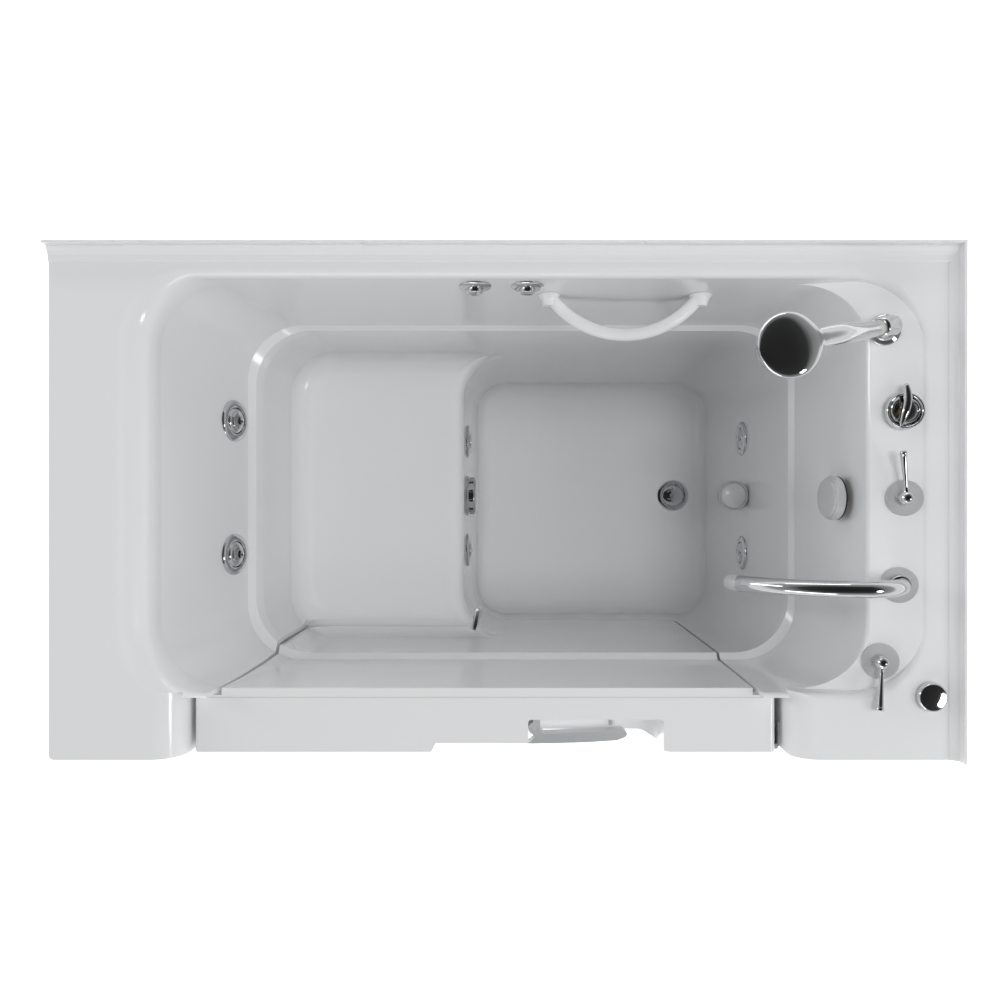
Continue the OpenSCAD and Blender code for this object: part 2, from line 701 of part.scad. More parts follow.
module tile_flange() color(acrylic) difference() {
    union() {
        profile = [[0, 0], [flange_w, 0], [flange_w, flange_h], [flange_w - flange_t, flange_h],
            [flange_w - flange_t, 9], [flange_w - 12, 6], [flange_w - 16, 3], [3, 2.5], [0, 1]];
        end_profile = [[0, 0], [flange_end_w, 0], [flange_end_w, flange_h],
            [flange_end_w - flange_t, flange_h], [flange_end_w - flange_t, 7],
            [flange_end_w - 9, 3], [0, 1]];
        translate([-half_w, half_d - flange_w, deck_h]) rotate([90, 0, 90])
            linear_extrude(tub_w) polygon(profile);
        translate([half_w - flange_end_w, half_d, deck_h]) rotate([90, 0, 0])
            linear_extrude(tub_d) polygon(end_profile);
    }
    for (i = [-1.5:1:1.5]) translate([i * wall_hole_pitch, half_d + 1, deck_h + flange_h - 6])
        rotate([90, 0, 0]) cylinder(r = wall_hole_r, h = flange_t + 2, $fn = coarse);
}

// Panels and their screws

screw_r = 2.5;
head_r = 6;
head_h = 3;
front_screws = [for (s = [-0.458, -0.275, -0.092, 0.122, 0.305, 0.458])
    [s * tub_w, rail_z0 + rail / 2],
    [-0.458 * tub_w, panel_seat_z - 30], [-0.11 * tub_w, panel_seat_z - 30]];
end_screws = [for (s = [-0.404, 0, 0.404]) [s * tub_d, rail_z0 + rail / 2],
    [-half_d + 31, deck_h - 120], [half_d - 21, deck_h - 120]];

module screw_seats(extra) {
    for (p = front_screws) translate([p[0], front_y, p[1]]) rotate([-90, 0, 0]) {
        translate([0, 0, -extra]) cylinder(r = head_r + extra, h = head_h + extra, $fn = coarse);
        cylinder(r = screw_r + extra, h = panel_t, $fn = coarse);
    }
    for (p = end_screws) translate([-half_w, p[0], p[1]]) rotate([0, 90, 0]) {
        translate([0, 0, -extra]) cylinder(r = head_r + extra, h = head_h + extra, $fn = coarse);
        cylinder(r = screw_r + extra, h = panel_t, $fn = coarse);
    }
}

module front_access_panel() color(acrylic) difference() {
    x0 = -half_w + shell_t + 1;
    upright(rounded([[x0, panel_z], [half_w, panel_z], [half_w, panel_sill_z],
        [panel_step_x, panel_sill_z], [panel_step_x, panel_seat_z], [x0, panel_seat_z]],
        [0, 0, 0, 20, door_r + 4, 0]), front_y, front_y + panel_t);
    screw_seats(0.1);
}

module end_access_panel() color(acrylic) difference() {
    translate([-half_w, front_y, panel_z])
        cube([panel_t, tub_d, deck_h - lip_drop - seat_clear - panel_z]);
    translate([-half_w - 1, front_y - 1, panel_seat_z + 1])
        cube([panel_t + 2, shell_t + 2, deck_h]);
    screw_seats(0.1);
}

module panel_screws() color(chrome) difference() {
    screw_seats(0);
    for (p = front_screws) translate([p[0], front_y - 1, p[1]]) rotate([-90, 0, 0])
        cube([6.5, 1.2, 4.4], center = true);
    for (p = end_screws) translate([-half_w - 1, p[0], p[1]]) rotate([0, 90, 0])
        cube([6.5, 1.2, 4.4], center = true);
}

// Frame

module base_frame() color(zinc) {
    length = 2 * frame_x;
    width = frame_y1 - frame_y0;
    difference() {
        translate([-frame_x, frame_y0, rail_z0]) cube([length, width, rail]);
        translate([-frame_x + rail, frame_y0 + rail, rail_z0 - 1])
            cube([length - 2 * rail, width - 2 * rail, rail + 2]);
    }
    for (y = [-180, 180]) translate([-frame_x + rail, y - rail / 2, rail_z0])
        cube([length - 2 * rail, rail, rail]);
    translate([60, -180 + rail / 2, rail_z0]) cube([rail, 360 - rail, rail]);
    translate([-120, -180 + rail / 2, rail_z0]) cube([rail, 360 - rail, rail]);
}

module post_at(x, y, z0, z1) {
    translate([x, y, z0]) square_tube([post, post, z1 - z0]);
}

module frame_posts() color(zinc) {
    for (x = [-frame_x, frame_x - post], y = [frame_y0, frame_y1 - post - shell_t])
        post_at(x, y, rail_z1, deck_h - shell_t);
    for (x = [seat_front_x - 360, seat_front_x - 70], y = [plug_in_y + 2, half_d - 173])
        post_at(x, y, tray_z1, seat_under);
}

module equipment_tray() color([0.62, 0.5, 0.34])
    translate([-frame_x + post + 2, frame_y0 + 2, rail_z1])
        cube([frame_x + seat_front_x - 20 - post - 2, frame_y1 - frame_y0 - 4, tray_t]);

module levelling_feet() color(grey_plastic)
    for (x = foot_xs, y = [frame_y0 + rail / 2, frame_y1 - rail / 2]) translate([x, y, 0]) {
        cylinder(r = foot_r, h = 6, $fn = coarse);
        translate([0, 0, 6]) cylinder(r1 = foot_r, r2 = 10, h = 8, $fn = coarse);
        cylinder(r = stem_r, h = rail_z0, $fn = coarse);
    }

module foot_lock_nuts() color(zinc)
    for (x = foot_xs, y = [frame_y0 + rail / 2, frame_y1 - rail / 2])
        translate([x, y, rail_z0 - 10]) difference() {
            cylinder(r = stem_r * 1.8, h = 10, $fn = 6);
            translate([0, 0, -1]) cylinder(r = stem_r, h = 12, $fn = coarse);
        }

// Grab bar

grab_turn_r = (pow(grab_span / 2, 2) + grab_reach * grab_reach) / (2 * grab_reach);
grab_angle = asin(grab_span / 2 / grab_turn_r);
grab_wall_y = back_y(grab_depth);

module grab_bar() color(acrylic) {
    translate([grab_x, grab_wall_y, deck_h - grab_depth]) {
        intersection() {
            translate([0, grab_turn_r - grab_reach, 0])
                rotate([0, 0, -90 - grab_angle - 4])
                    rotate_extrude(angle = 2 * grab_angle + 8, $fn = 96)
                        translate([grab_turn_r, 0]) circle(r = grab_r, $fn = coarse);
            translate([-grab_span, -200, -60]) cube([2 * grab_span, 198, 120]);
        }
    }
    for (s = [-1, 1]) on_back_wall(grab_x + s * grab_span / 2, grab_depth) {
        translate([0, 0, seat_clear])
            cylinder(r1 = grab_r * 1.7, r2 = grab_r * 1.15, h = 14, $fn = coarse);
        translate([0, 0, -22]) cylinder(r = 3.6, h = 26, $fn = coarse);
    }
}

// Jets

module jet_bodies() color(grey_plastic) for (j = jets) on_jet(j) mirror([0, 0, 1]) jet_cup();

// Cup behind the wall, drawn along its own +Z
module jet_cup() {
    difference() {
        union() {
            cylinder(r = jet_face_r + jet_wall, h = jet_depth + shell_t, $fn = coarse);
            translate([0, 0, flange_back]) cylinder(r = jet_r, h = 8, $fn = coarse);
        }
        translate([0, 0, -through])
            cylinder(r = jet_face_r + seat_clear, h = 24 + through, $fn = coarse);
        cylinder(r = 8, h = jet_depth, $fn = coarse);
    }
}

module jet_rings() color(chrome) for (j = jets) on_jet(j) translate([0, 0, seat_clear])
    rotate_extrude($fn = fine) polygon([[jet_face_r + seat_clear, 0], [jet_r, 0],
        [jet_r - 0.8, 2], [jet_r - 4, 4.6], [jet_face_r + 3, 5.4], [jet_face_r + seat_clear, 4.4]]);

module jet_face(j) color(chrome) on_jet(j) difference() {
    union() {
        translate([0, 0, -8]) cylinder(r = jet_face_r, h = 11, $fn = fine);
        translate([0, 0, 3]) cylinder(r1 = jet_face_r, r2 = jet_face_r - 5, h = 4, $fn = fine);
        translate([0, 0, 7]) cylinder(r = jet_face_r - 8, h = 2, $fn = fine);
    }
    translate([jet_face_r / 4, 0, -9]) cylinder(r = nozzle_r, h = 20, $fn = coarse);
}

module suction_body() color(grey_plastic) on_riser(mid_y, suction_depth) difference() {
    union() {
        translate([0, 0, -55 - shell_t])
            cylinder(r = suction_pipe_r + 3, h = 55 + shell_t, $fn = coarse);
        translate([0, 0, -flange_back - 10])
            cylinder(r = suction_r - 5, h = 10, $fn = coarse);
    }
    translate([0, 0, -50]) cylinder(r = suction_pipe_r - 2, h = 51, $fn = coarse);
}

module suction_cover() color(chrome) on_riser(mid_y, suction_depth) difference() {
    union() {
        translate([0, 0, seat_clear]) cylinder(r = suction_r, h = 4, $fn = fine);
        translate([0, 0, 4]) cylinder(r = suction_r - 4, h = suction_drum - 3, $fn = fine);
        translate([0, 0, suction_drum + 1])
            cylinder(r1 = suction_r - 4, r2 = suction_r - 8, h = 3, $fn = fine);
    }
    translate([0, 0, -1]) cylinder(r = suction_r - 8, h = suction_drum + 2, $fn = fine);
    for (i = [0:suction_slots - 1]) rotate([0, 0, (i + 0.5) * 360 / suction_slots])
        translate([suction_r - 10, -2.5, 7]) cube([12, 5, suction_drum - 8]);
}

// Light

module on_lens() {
    on_light() translate([0, 0, light_reach]) rotate([0, light_lean, 0]) children();
}

// A can that leans up out of the wall, cut flat against it and held by a neck through it
module light_housing() color(chrome) difference() {
    can_l = 34;
    cone_l = 10;
    union() {
        difference() {
            on_lens() {
                translate([0, 0, cone_l - can_l])
                    cylinder(r = light_r, h = can_l - cone_l, $fn = fine);
                translate([0, 0, -can_l])
                    cylinder(r1 = light_r - cone_l, r2 = light_r, h = cone_l, $fn = fine);
            }
            on_light() translate([-80, -80, -80]) cube([160, 160, 80 + seat_clear]);
        }
        on_light() translate([-light_neck_drop, 0, 0]) {
            translate([0, 0, -26]) cylinder(r = light_neck_r, h = 31, $fn = coarse);
            translate([0, 0, -shell_t - seat_clear - 6]) cylinder(r = 16, h = 6, $fn = fine);
        }
    }
    on_lens() translate([0, 0, -light_seat])
        cylinder(r = light_r - 3.5, h = light_seat + through, $fn = fine);
}

module light_lens() color(lens_grey) on_lens() {
    r = light_r - 3.5 - seat_clear;
    translate([0, 0, seat_clear - light_seat]) rotate_extrude($fn = fine)
        polygon([[0, 0], [r, 0], [r, light_seat - 1], [r * 0.85, light_seat + 2.5],
            [r * 0.6, light_seat + 5.2], [r * 0.3, light_seat + 6.7], [0, light_seat + 7.2]]);
}

// Drain and overflow

module drain_ring() color(chrome) translate([drain_x, drain_y, 0])
    rotate_extrude($fn = fine) polygon([[plug_r + 0.5, floor_h - 16], [plug_r + 3, floor_h - 16],
        [plug_r + 3, floor_h], [drain_r, floor_h], [drain_r - 1, floor_h + 2.4],
        [plug_r + 2.5, floor_h + 3], [plug_r + 0.5, floor_h + 1]]);

module drain_plug() color(chrome) translate([drain_x, drain_y, 0]) {
    rotate_extrude($fn = fine) polygon([[0, floor_h - 4], [plug_r, floor_h - 4],
        [plug_r, floor_h + 2], [plug_r - 3, floor_h + 4], [plug_r * 0.6, floor_h + 5.5],
        [0, floor_h + 6]]);
    translate([0, 0, floor_h - 26]) cylinder(r = 4, h = 24, $fn = coarse);
}

waste_z = rail_z0 + 14;
overflow_pipe_x = end_x(lip_r) + shell_t + 18;
overflow_z = deck_h - overflow_depth;
overflow_y = mid_y - 6;
overflow_body_r = 30;
overflow_back = shell_t + seat_clear + 34;
cable_r = 3;

module waste_pipes() color(pvc) difference() {
    union() {
        translate([drain_x, drain_y, waste_z - 18])
            cylinder(r = drain_r, h = rail_z1 - waste_z + 18 - seat_clear, $fn = fine);
        translate([drain_x, drain_y, waste_z - 48]) cylinder(r = tail_r, h = 34, $fn = fine);
        pipe([[drain_x, drain_y, waste_z], [overflow_pipe_x, overflow_y, waste_z],
            [overflow_pipe_x, overflow_y,
            overflow_z - overflow_body_r - overflow_back * sin(end_draft)]], 17);
    }
    translate([drain_x, drain_y, waste_z - 6])
        cylinder(r = plug_r + 3.3, h = rail_z1 - waste_z + 20, $fn = fine);
    translate([drain_x, drain_y, waste_z - 49])
        cylinder(r = tail_r - 2.5, h = 60, $fn = fine);
}

module overflow_body() color(grey_plastic) on_end_wall(overflow_y, overflow_depth) difference() {
    union() {
        translate([0, 0, -overflow_back]) cylinder(r = overflow_body_r, h = 34, $fn = fine);
        translate([0, 0, -shell_t - 1]) cylinder(r = 14.6, h = shell_t + 3, $fn = fine);
    }
    translate([0, 0, -20]) cylinder(r = 5 + run_clear, h = 30, $fn = coarse);
}

module overflow_knob() color(chrome) on_end_wall(overflow_y, overflow_depth) {
    translate([0, 0, -18]) cylinder(r = 5, h = 22, $fn = coarse);
    translate([0, 0, 3]) cylinder(r = 12, h = 5, $fn = fine);
    rotate_extrude($fn = fine) polygon([[0, 7], [overflow_r - 1.5, 7], [overflow_r, 8.5],
        [overflow_r, 27], [overflow_r - 2, 29], [0, 29.6]]);
}

// The cable hangs from the overflow's body and pushes the plug up through the drain's body
module drain_cable() color(rubber) {
    side = 24;
    x = overflow_pipe_x - 8;
    low = waste_z + 21;
    near = sqrt(pow(overflow_body_r, 2) - pow(side - cable_r, 2)) + seat_clear;
    top = overflow_z - near / cos(end_draft)
        - (x + cable_r - end_x(overflow_depth)) * tan(end_draft);
    pipe([[x, overflow_y + side, top], [x, overflow_y + side, low],
        [drain_x + drain_r - 2, overflow_y + side, low]], cable_r);
}

// Pump, pipes and controls

module pump_volute() color(grey_plastic) {
    translate([volute_x0, pump_y, pump_z]) rotate([0, 90, 0])
        cylinder(r = volute_r, h = volute_x1 - volute_x0 - 12, $fn = fine);
    translate([volute_x1 - 12, pump_y, pump_z]) rotate([0, 90, 0])
        cylinder(r = suction_pipe_r + 6, h = 12, $fn = fine);
    translate([mid_run_x, pump_y, pump_z]) cylinder(r = pipe_r + 5, h = outlet_l, $fn = fine);
    for (s = [-1, 1]) translate([mid_run_x - 15, pump_y + s * 45 - 10, tray_z1])
        cube([30, 20, 40]);
}

module pump_motor() color(motor_blue) {
    x0 = volute_x0 - motor_l;
    translate([x0, pump_y, pump_z]) rotate([0, 90, 0]) cylinder(r = motor_r, h = motor_l, $fn = fine);
    for (i = [0:11]) rotate_about_pump(i * 30) translate([x0 + 20, -2, motor_r - 2])
        cube([motor_l - 50, 4, 8]);
    for (s = [-1, 1]) translate([x0 + 60, pump_y + s * 40 - 12, tray_z1])
        cube([90, 24, pump_z - tray_z1 - motor_r * 0.7]);
}

module rotate_about_pump(a) {
    translate([0, pump_y, pump_z]) rotate([a, 0, 0]) children();
}

module suction_pipe() color(pvc) {
    start = [volute_x1 + seat_clear, pump_y, pump_z];
    end = [riser_x(suction_depth) - (56 + shell_t) * cos(riser_draft), mid_y,
        suction_z - (56 + shell_t) * sin(riser_draft)];
    turn_x = seat_front_x - 105;
    pipe([start, [turn_x, pump_y, pump_z], [turn_x, pump_y, 330], [turn_x, mid_y, end[2]], end],
        suction_pipe_r - 4);
}

module water_manifold() color(pvc) {
    r = pipe_r;
    z = run_z;
    stub = [for (j = jets) jet_point(j, stub_l)];
    lead = [for (j = jets) jet_point(j, lead_l)];
    y = [for (j = jets) j[1]];
    pipe([stub[1], lead[1], [left_run_x, y[1], z], [left_run_x, back_run_y, z],
        [right_run_x, back_run_y, z], [right_run_x, y[5], z], stub[5]], r);
    tee([left_run_x, y[0], z], [0, 1, 0], [0, 0, 1], r);
    pipe([[left_run_x, y[0], z], lead[0], stub[0]], r, true);
    tee([right_run_x, y[4], z], [0, 1, 0], [-1, 0, 0], r);
    pipe([[right_run_x, y[4], z], stub[4]], r, true);
    tee([mid_run_x, back_run_y, z], [1, 0, 0], [0, -1, 0], r);
    pipe([[mid_run_x, back_run_y, z], [mid_run_x, y[3], z], lead[3], stub[3]], r, true);
    tee([mid_run_x, y[2], z], [0, 1, 0], [1, 0, 0], r);
    pipe([[mid_run_x, y[2], z], lead[2], stub[2]], r, true);
    tee([mid_run_x, pump_y, z], [0, 1, 0], [0, 0, -1], r);
    pipe([[mid_run_x, pump_y, z], [mid_run_x, pump_y, pump_z + outlet_l + seat_clear]], r, true);
}

module air_lines() color([0.8, 0.82, 0.84]) {
    r = air_r;
    x1 = air_x - r;
    x0 = left_run_x - pipe_r - r - 6;
    y1 = back_run_y + pipe_r + r - 2;
    z = run_z + 60;
    low = run_z + 32;
    top = jet_face_r + jet_wall + seat_clear;
    back = [for (i = [0, 1]) jet_point(jets[i], 35)];
    riser = [for (i = [2, 3]) jet_point(jets[i], 35)];
    end = [for (i = [4, 5]) jet_point(jets[i], 35)];
    back_z = back[0][2] + top + 30;
    mid_x = riser[0][0];
    pipe([[x1, air_y, deck_h - air_body_l - seat_clear], [x1, air_y, z], [x1, y1, z], [x0, y1, z],
        [x0, jets[1][1], z], [x0, jets[1][1], back_z], [back[1][0], back[1][1], back_z],
        back[1] + [0, 0, top / cos(backrest_tilt) + r * tan(backrest_tilt)]], r);
    tee([x0, jets[0][1], z], [0, 1, 0], [0, 0, 1], r);
    pipe([[x0, jets[0][1], z], [x0, jets[0][1], back_z], [back[0][0], back[0][1], back_z],
        back[0] + [0, 0, top / cos(backrest_tilt) + r * tan(backrest_tilt)]], r, true);
    for (p = end) {
        tee([x1, p[1], z], [0, 1, 0], [-1, 0, 0], r);
        pipe([[x1, p[1], z], [p[0], p[1], z], p + [0, 0, top]], r, true);
    }
    tee([mid_x, y1, z], [1, 0, 0], [0, 0, -1], r);
    pipe([[mid_x, y1, z], [mid_x, y1, low], [mid_x, riser[1][1], low], riser[1] + [0, 0, top]],
        r, true);
    tee([mid_x, riser[0][1], low], [0, 1, 0], [0, 0, -1], r);
    pipe([[mid_x, riser[0][1], low], riser[0] + [0, 0, top]], r, true);
}

module control_box() color(grey_plastic) {
    translate([-half_w + 55, half_d - 241, tray_z1]) cube([100, 160, 130]);
    for (i = [0, 1]) translate([-half_w + 65, half_d - 201 + 60 * i, tray_z1 + 130])
        cylinder(r = 8, h = 14, $fn = coarse);
}

module button_rings() color(chrome) for (x = button_xs) on_back_wall(x, button_depth) {
    translate([0, 0, seat_clear]) rotate_extrude($fn = fine) polygon([[button_r + seat_clear, 0],
        [24, 0], [24, 1.5], [20, 4], [button_r + 3, 5], [button_r + seat_clear, 5]]);
    translate([0, 0, -30]) difference() {
        cylinder(r = button_r + 2.6, h = 30 + seat_clear, $fn = fine);
        translate([0, 0, 8]) cylinder(r = button_r + seat_clear, h = 30, $fn = fine);
    }
}

module push_button(x) color(chrome) on_back_wall(x, button_depth) {
    translate([0, 0, -12]) cylinder(r = button_r, h = 22, $fn = fine);
    translate([0, 0, 10]) cylinder(r1 = button_r, r2 = button_r - 2.5, h = 2, $fn = fine);
}

// Taps

tap_places = [[tap_x, hot_y], [cold_x, cold_y], [dial_x, dial_y]];

module valve_bodies() color([0.75, 0.62, 0.35]) for (p = tap_places) on_platform(p[0], p[1]) {
    translate([0, 0, -valve_l]) cylinder(r = valve_r, h = valve_l, $fn = coarse);
    translate([0, 0, -shell_t - seat_clear - 6]) cylinder(r = valve_r + 4, h = 6, $fn = 6);
    cylinder(r = stem_r, h = 10, $fn = fine);
    translate([0, 0, -valve_l - 22]) cylinder(r = inlet_r, h = 23, $fn = fine);
}

module cover_plates() color([0.74, 0.76, 0.78]) {
    for (p = [tap_places[0], tap_places[1]]) on_platform(p[0], p[1]) translate([0, 0, seat_clear])
        ring(plate_r, stem_r + 1, plate_t);
    on_platform(spout_x, spout_y) translate([0, 0, seat_clear])
        ring(plate_r, spout_r + 0.5, plate_t);
}

// Point on a tap's shank at the level of the copper pipes
function shank(x, y) = let(top = deck_h - platform_step - (platform_x1 - x) * tan(platform_tilt))
    [x + (top - mixing_z) * tan(platform_tilt), y, mixing_z];

module copper_link(a, ra, b, rb) {
    u = unit(b - a);
    run(a + u * (ra + seat_clear), b - u * (rb + seat_clear), copper_r);
}

module mixing_pipes() color([0.72, 0.45, 0.3]) {
    copper_link(shank(tap_x, hot_y), valve_r, shank(spout_x, spout_y), spout_r);
    copper_link(shank(spout_x, spout_y), spout_r, shank(cold_x, cold_y), valve_r);
    copper_link(shank(tap_x, hot_y), valve_r, shank(dial_x, dial_y), valve_r);
    copper_link(shank(dial_x, dial_y), valve_r, shank(holder_x, holder_y), valve_r - 1);
}

// The spout rises in one arc and falls in a wider one that is telescoped into it
spout_rise_r = 72;
spout_rise_a = 80;
spout_fall_r = 175;
spout_fall_a = 68;
spout_step = 0.8;
spout_lap = 3;
spout_bore = 6;

module spout() color(chrome) on_platform(spout_x, spout_y) {
    translate([0, 0, -valve_l]) cylinder(r = spout_r, h = valve_l + plate_t + 6, $fn = coarse);
    translate([0, 0, plate_t + 2 * seat_clear]) cylinder(r = spout_r + 3, h = 9, $fn = fine);
    translate([0, 0, plate_t + 5]) {
        bend(spout_rise_r, spout_rise_a, spout_r);
        past_bend(spout_rise_r, spout_rise_a) difference() {
            past_bend(spout_fall_r, -spout_lap)
                bend(spout_fall_r, spout_fall_a + spout_lap, spout_r - spout_step);
            past_bend(spout_fall_r, spout_fall_a - spout_bore)
                bend(spout_fall_r, spout_bore + 1, spout_r - 2 * spout_step - 1);
        }
    }
}

// A tap lever whose arm leaves at an angle about the stem
module tap_lever(turn, r1, r2) {
    z = plate_t + 2 * seat_clear;
    difference() {
        union() {
            translate([0, 0, z]) cylinder(r = ball_r * 0.8, h = ball_r, $fn = fine);
            translate([0, 0, z + ball_r * 0.9]) sphere(r = ball_r, $fn = fine);
            translate([0, 0, z + ball_r * 0.9]) rotate([0, 0, turn]) rotate([0, 76, 0]) {
                cylinder(r1 = r1, r2 = r2, h = arm_l, $fn = coarse);
                translate([0, 0, arm_l]) cylinder(r1 = r2, r2 = r2 * 0.7, h = 4, $fn = coarse);
            }
        }
        translate([0, 0, -20]) cylinder(r = stem_r + run_clear, h = 30.3, $fn = fine);
    }
}

module hot_lever() color(chrome) on_platform(tap_x, hot_y) tap_lever(97, 2.9, 4.8);

module cold_lever() color(chrome) on_platform(cold_x, cold_y) tap_lever(-96, 2.6, 5.6);

module diverter_dial() color(chrome) on_platform(dial_x, dial_y) difference() {
    union() {
        translate([0, 0, seat_clear]) rotate_extrude($fn = fine) polygon([[0, 0], [dial_r, 0],
            [dial_r, 5], [dial_r - 1, 14], [dial_r - 3.5, 15.5], [dial_r - 7, 12], [0, 10]]);
        hull() {
            translate([-6, -21, 8]) cylinder(r = 2.5, h = 8, $fn = coarse);
            translate([0, dial_r + 10, 15]) sphere(r = 3.5, $fn = coarse);
            translate([0, 0, 19]) sphere(r = 4, $fn = coarse);
            translate([0, 5, 8]) cylinder(r = 3, h = 4, $fn = coarse);
        }
    }
    translate([0, 0, -1]) cylinder(r = stem_r + run_clear, h = 11.3, $fn = fine);
}

holder_point = [holder_x - sin(platform_tilt) * holder_h, holder_y,
    deck_h - platform_step - (platform_x1 - holder_x) * tan(platform_tilt)
        + cos(platform_tilt) * holder_h];

module along_shower() {
    translate(holder_point) rotate([0, 0, shower_turn]) rotate([0, shower_lean, 0]) children();
}

module shower_holder() color(chrome) difference() {
    union() {
        on_platform(holder_x, holder_y) {
            translate([0, 0, -valve_l]) cylinder(r = valve_r - 1, h = valve_l, $fn = coarse);
            translate([0, 0, seat_clear]) cylinder(r = 23, h = 5, $fn = fine);
            cylinder(r = valve_r, h = holder_h - 6, $fn = fine);
        }
        along_shower() translate([0, 0, -socket_foot])
            cylinder(r = handle_r + socket_wall, h = socket_l, $fn = fine);
    }
    along_shower() cylinder(r = handle_r + seat_clear, h = 80, $fn = fine);
}

module hand_shower() color(chrome) {
    along_shower() {
        translate([0, 0, seat_clear]) cylinder(r = handle_r, h = 40, $fn = fine);
        translate([0, 0, 40]) cylinder(r1 = handle_r, r2 = handle_r + 2, h = 60, $fn = fine);
        translate([0, 0, 100]) cylinder(r1 = handle_r + 2, r2 = handle_r, h = handle_l - 110, $fn = fine);
    }
    head = holder_point + shower_axis * (handle_l + 22);
    translate(head) {
        rotate_extrude($fn = fine) polygon([[0, -12], [shower_r - 4, -12], [shower_r, -8],
            [shower_r, -2], [shower_r - 5, 5], [shower_r * 0.6, 10], [0, 12]]);
    }
}

module air_control_body() color(grey_plastic) translate([air_x, air_y, deck_h]) {
    translate([0, 0, -air_body_l]) cylinder(r = valve_r, h = air_body_l, $fn = coarse);
    translate([0, 0, -shell_t - seat_clear - 8]) cylinder(r = valve_r + 5, h = 8, $fn = fine);
    cylinder(r = stem_r, h = 8, $fn = fine);
}

module air_control_knob() color(chrome) translate([air_x, air_y, deck_h + seat_clear]) difference() {
    rotate_extrude($fn = fine) polygon([[0, 0], [air_knob_r, 0], [air_knob_r, 6],
        [air_knob_r - 2, 10], [air_knob_r - 7, 13.5], [0, 15.5]]);
    translate([0, 0, -1]) cylinder(r = stem_r + run_clear, h = 9.3, $fn = fine);
}

// Door

module door_volume(o) difference() {
    upright(door_outline(-o, -o, door_top - o, door_r), front_y + o, plate_y + (o > 0 ? 1 : 0));
    translate([0, 0, recess_z - o]) linear_extrude(deck_h) polygon(recess_plan(o));
    translate([0, 0, pocket_z - o]) linear_extrude(deck_h)
        offset(r = pocket_r + o, $fn = coarse) offset(delta = -pocket_r - o) polygon(pocket_plan(o));
}

module door_outer_panel() color(acrylic) difference() {
    door_volume(0);
    door_volume(skin_t);
    translate([lever_x, lever_y, pocket_z - 10])
        cylinder(r = spindle_r + seat_clear, h = 20, $fn = coarse);
    for (z = [bolt_low_z, bolt_top_z]) translate([door_x0 - 2, bolt_y, z]) rotate([0, 90, 0])
        cylinder(r = bolt_r + seat_clear, h = 12, $fn = coarse);
}

module door_inner_panel() color(acrylic) {
    upright(door_outline(0, 0, door_top, door_r), plate_y, door_back_y);
    difference() {
        upright(plug_outline(-plug_gap, door_top), door_back_y - 1, plug_in_y);
        basin_space();
    }
}

module door_frame() color(zinc) difference() {
    upright(door_outline(-skin_t - 2, -skin_t - 2, door_top - skin_t - 2, door_r), plate_y - 20, plate_y);
    upright(door_outline(-skin_t - 22, -skin_t - 22, door_top - skin_t - 22, door_r - 10),
        plate_y - 21, plate_y + 1);
}

module door_seal() color(rubber) difference() {
    upright(door_outline(-3, -3, door_top - 3, door_r), door_back_y + seat_clear,
        door_back_y + seat_clear + seal_t);
    upright(plug_outline(seat_clear - plug_gap + 1, deck_h), door_back_y, door_back_y + 10);
}

module door_lever() color(chrome) {
    hub = spindle_r + 3;
    translate([lever_x, lever_y, lever_z - lever_h / 2]) {
        cylinder(r = hub, h = lever_h, $fn = coarse);
        translate([0, 0, 2]) linear_extrude(lever_h - 4) offset(r = 1.5, $fn = coarse) offset(delta = -1.5)
            polygon([[-7, -1], [-7.2, -5], [0.5, -16.5], [1.6, -17.8], [-9.5, -25.9], [30, -25.5], [80, -24], [lever_l - 21, -20.5],
                [lever_l - 8, -14.5], [lever_l - 7, -10], [lever_l - 10, -6], [lever_l - 20, -4.6],
                [lever_l * 0.5, -8], [12, -10], [7, -1]]);
    }
    translate([lever_x, lever_y, crank_z])
        cylinder(r = spindle_r, h = lever_z + lever_h / 2 + 9 - crank_z, $fn = fine);
    translate([lever_x, lever_y, crank_z]) {
        cylinder(r = spindle_r + 4, h = 8, $fn = coarse);
        translate([-5, 0, 0]) cube([10, crank_r, 8]);
        translate([0, crank_r, 0]) cylinder(r = 4, h = 17, $fn = fine);
    }
}

module lever_bracket() color(chrome) {
    y1 = front_y + pocket_d - seat_clear;
    for (z = [lever_z - lever_h / 2 - 0.5 - 8, lever_z + lever_h / 2 + 0.5]) difference() {
        union() {
            translate([lever_x - 2, lever_y, z]) cube([11, y1 - lever_y, 8]);
            translate([lever_x, lever_y, z]) cylinder(r = 9, h = 8, $fn = coarse);
        }
        translate([lever_x, lever_y, z - 1]) cylinder(r = spindle_r + run_clear, h = 10, $fn = fine);
    }
    // Round stop behind the lever's free end
    translate([lever_x + lever_l - 30, y1, lever_z]) rotate([90, 0, 0])
        cylinder(r = 5, h = y1 - lever_y - 0.8, $fn = coarse);
}

module latch_bolts() color(zinc) {
    slot = 4 + 0.7;
    for (z = [bolt_low_z, bolt_top_z]) translate([door_x0 + 1.5, bolt_y, z]) rotate([0, 90, 0])
        cylinder(r = bolt_r, h = bolt_bar_x - door_x0, $fn = fine);
    translate([bolt_bar_x, bolt_y - 4, bolt_low_z - 12])
        cube([14, 8, bolt_top_z - bolt_low_z + 24]);
    translate([bolt_bar_x, bolt_y - 4, rod_z - 3]) cube([lever_x - 14 - bolt_bar_x, 8, 6]);
    difference() {
        translate([lever_x - 16, bolt_y - 12, rod_z - 3]) cube([27, 20, 6]);
        translate([lever_x - slot, bolt_y - 9, rod_z - 4]) cube([2 * slot, 14, 8]);
    }
}

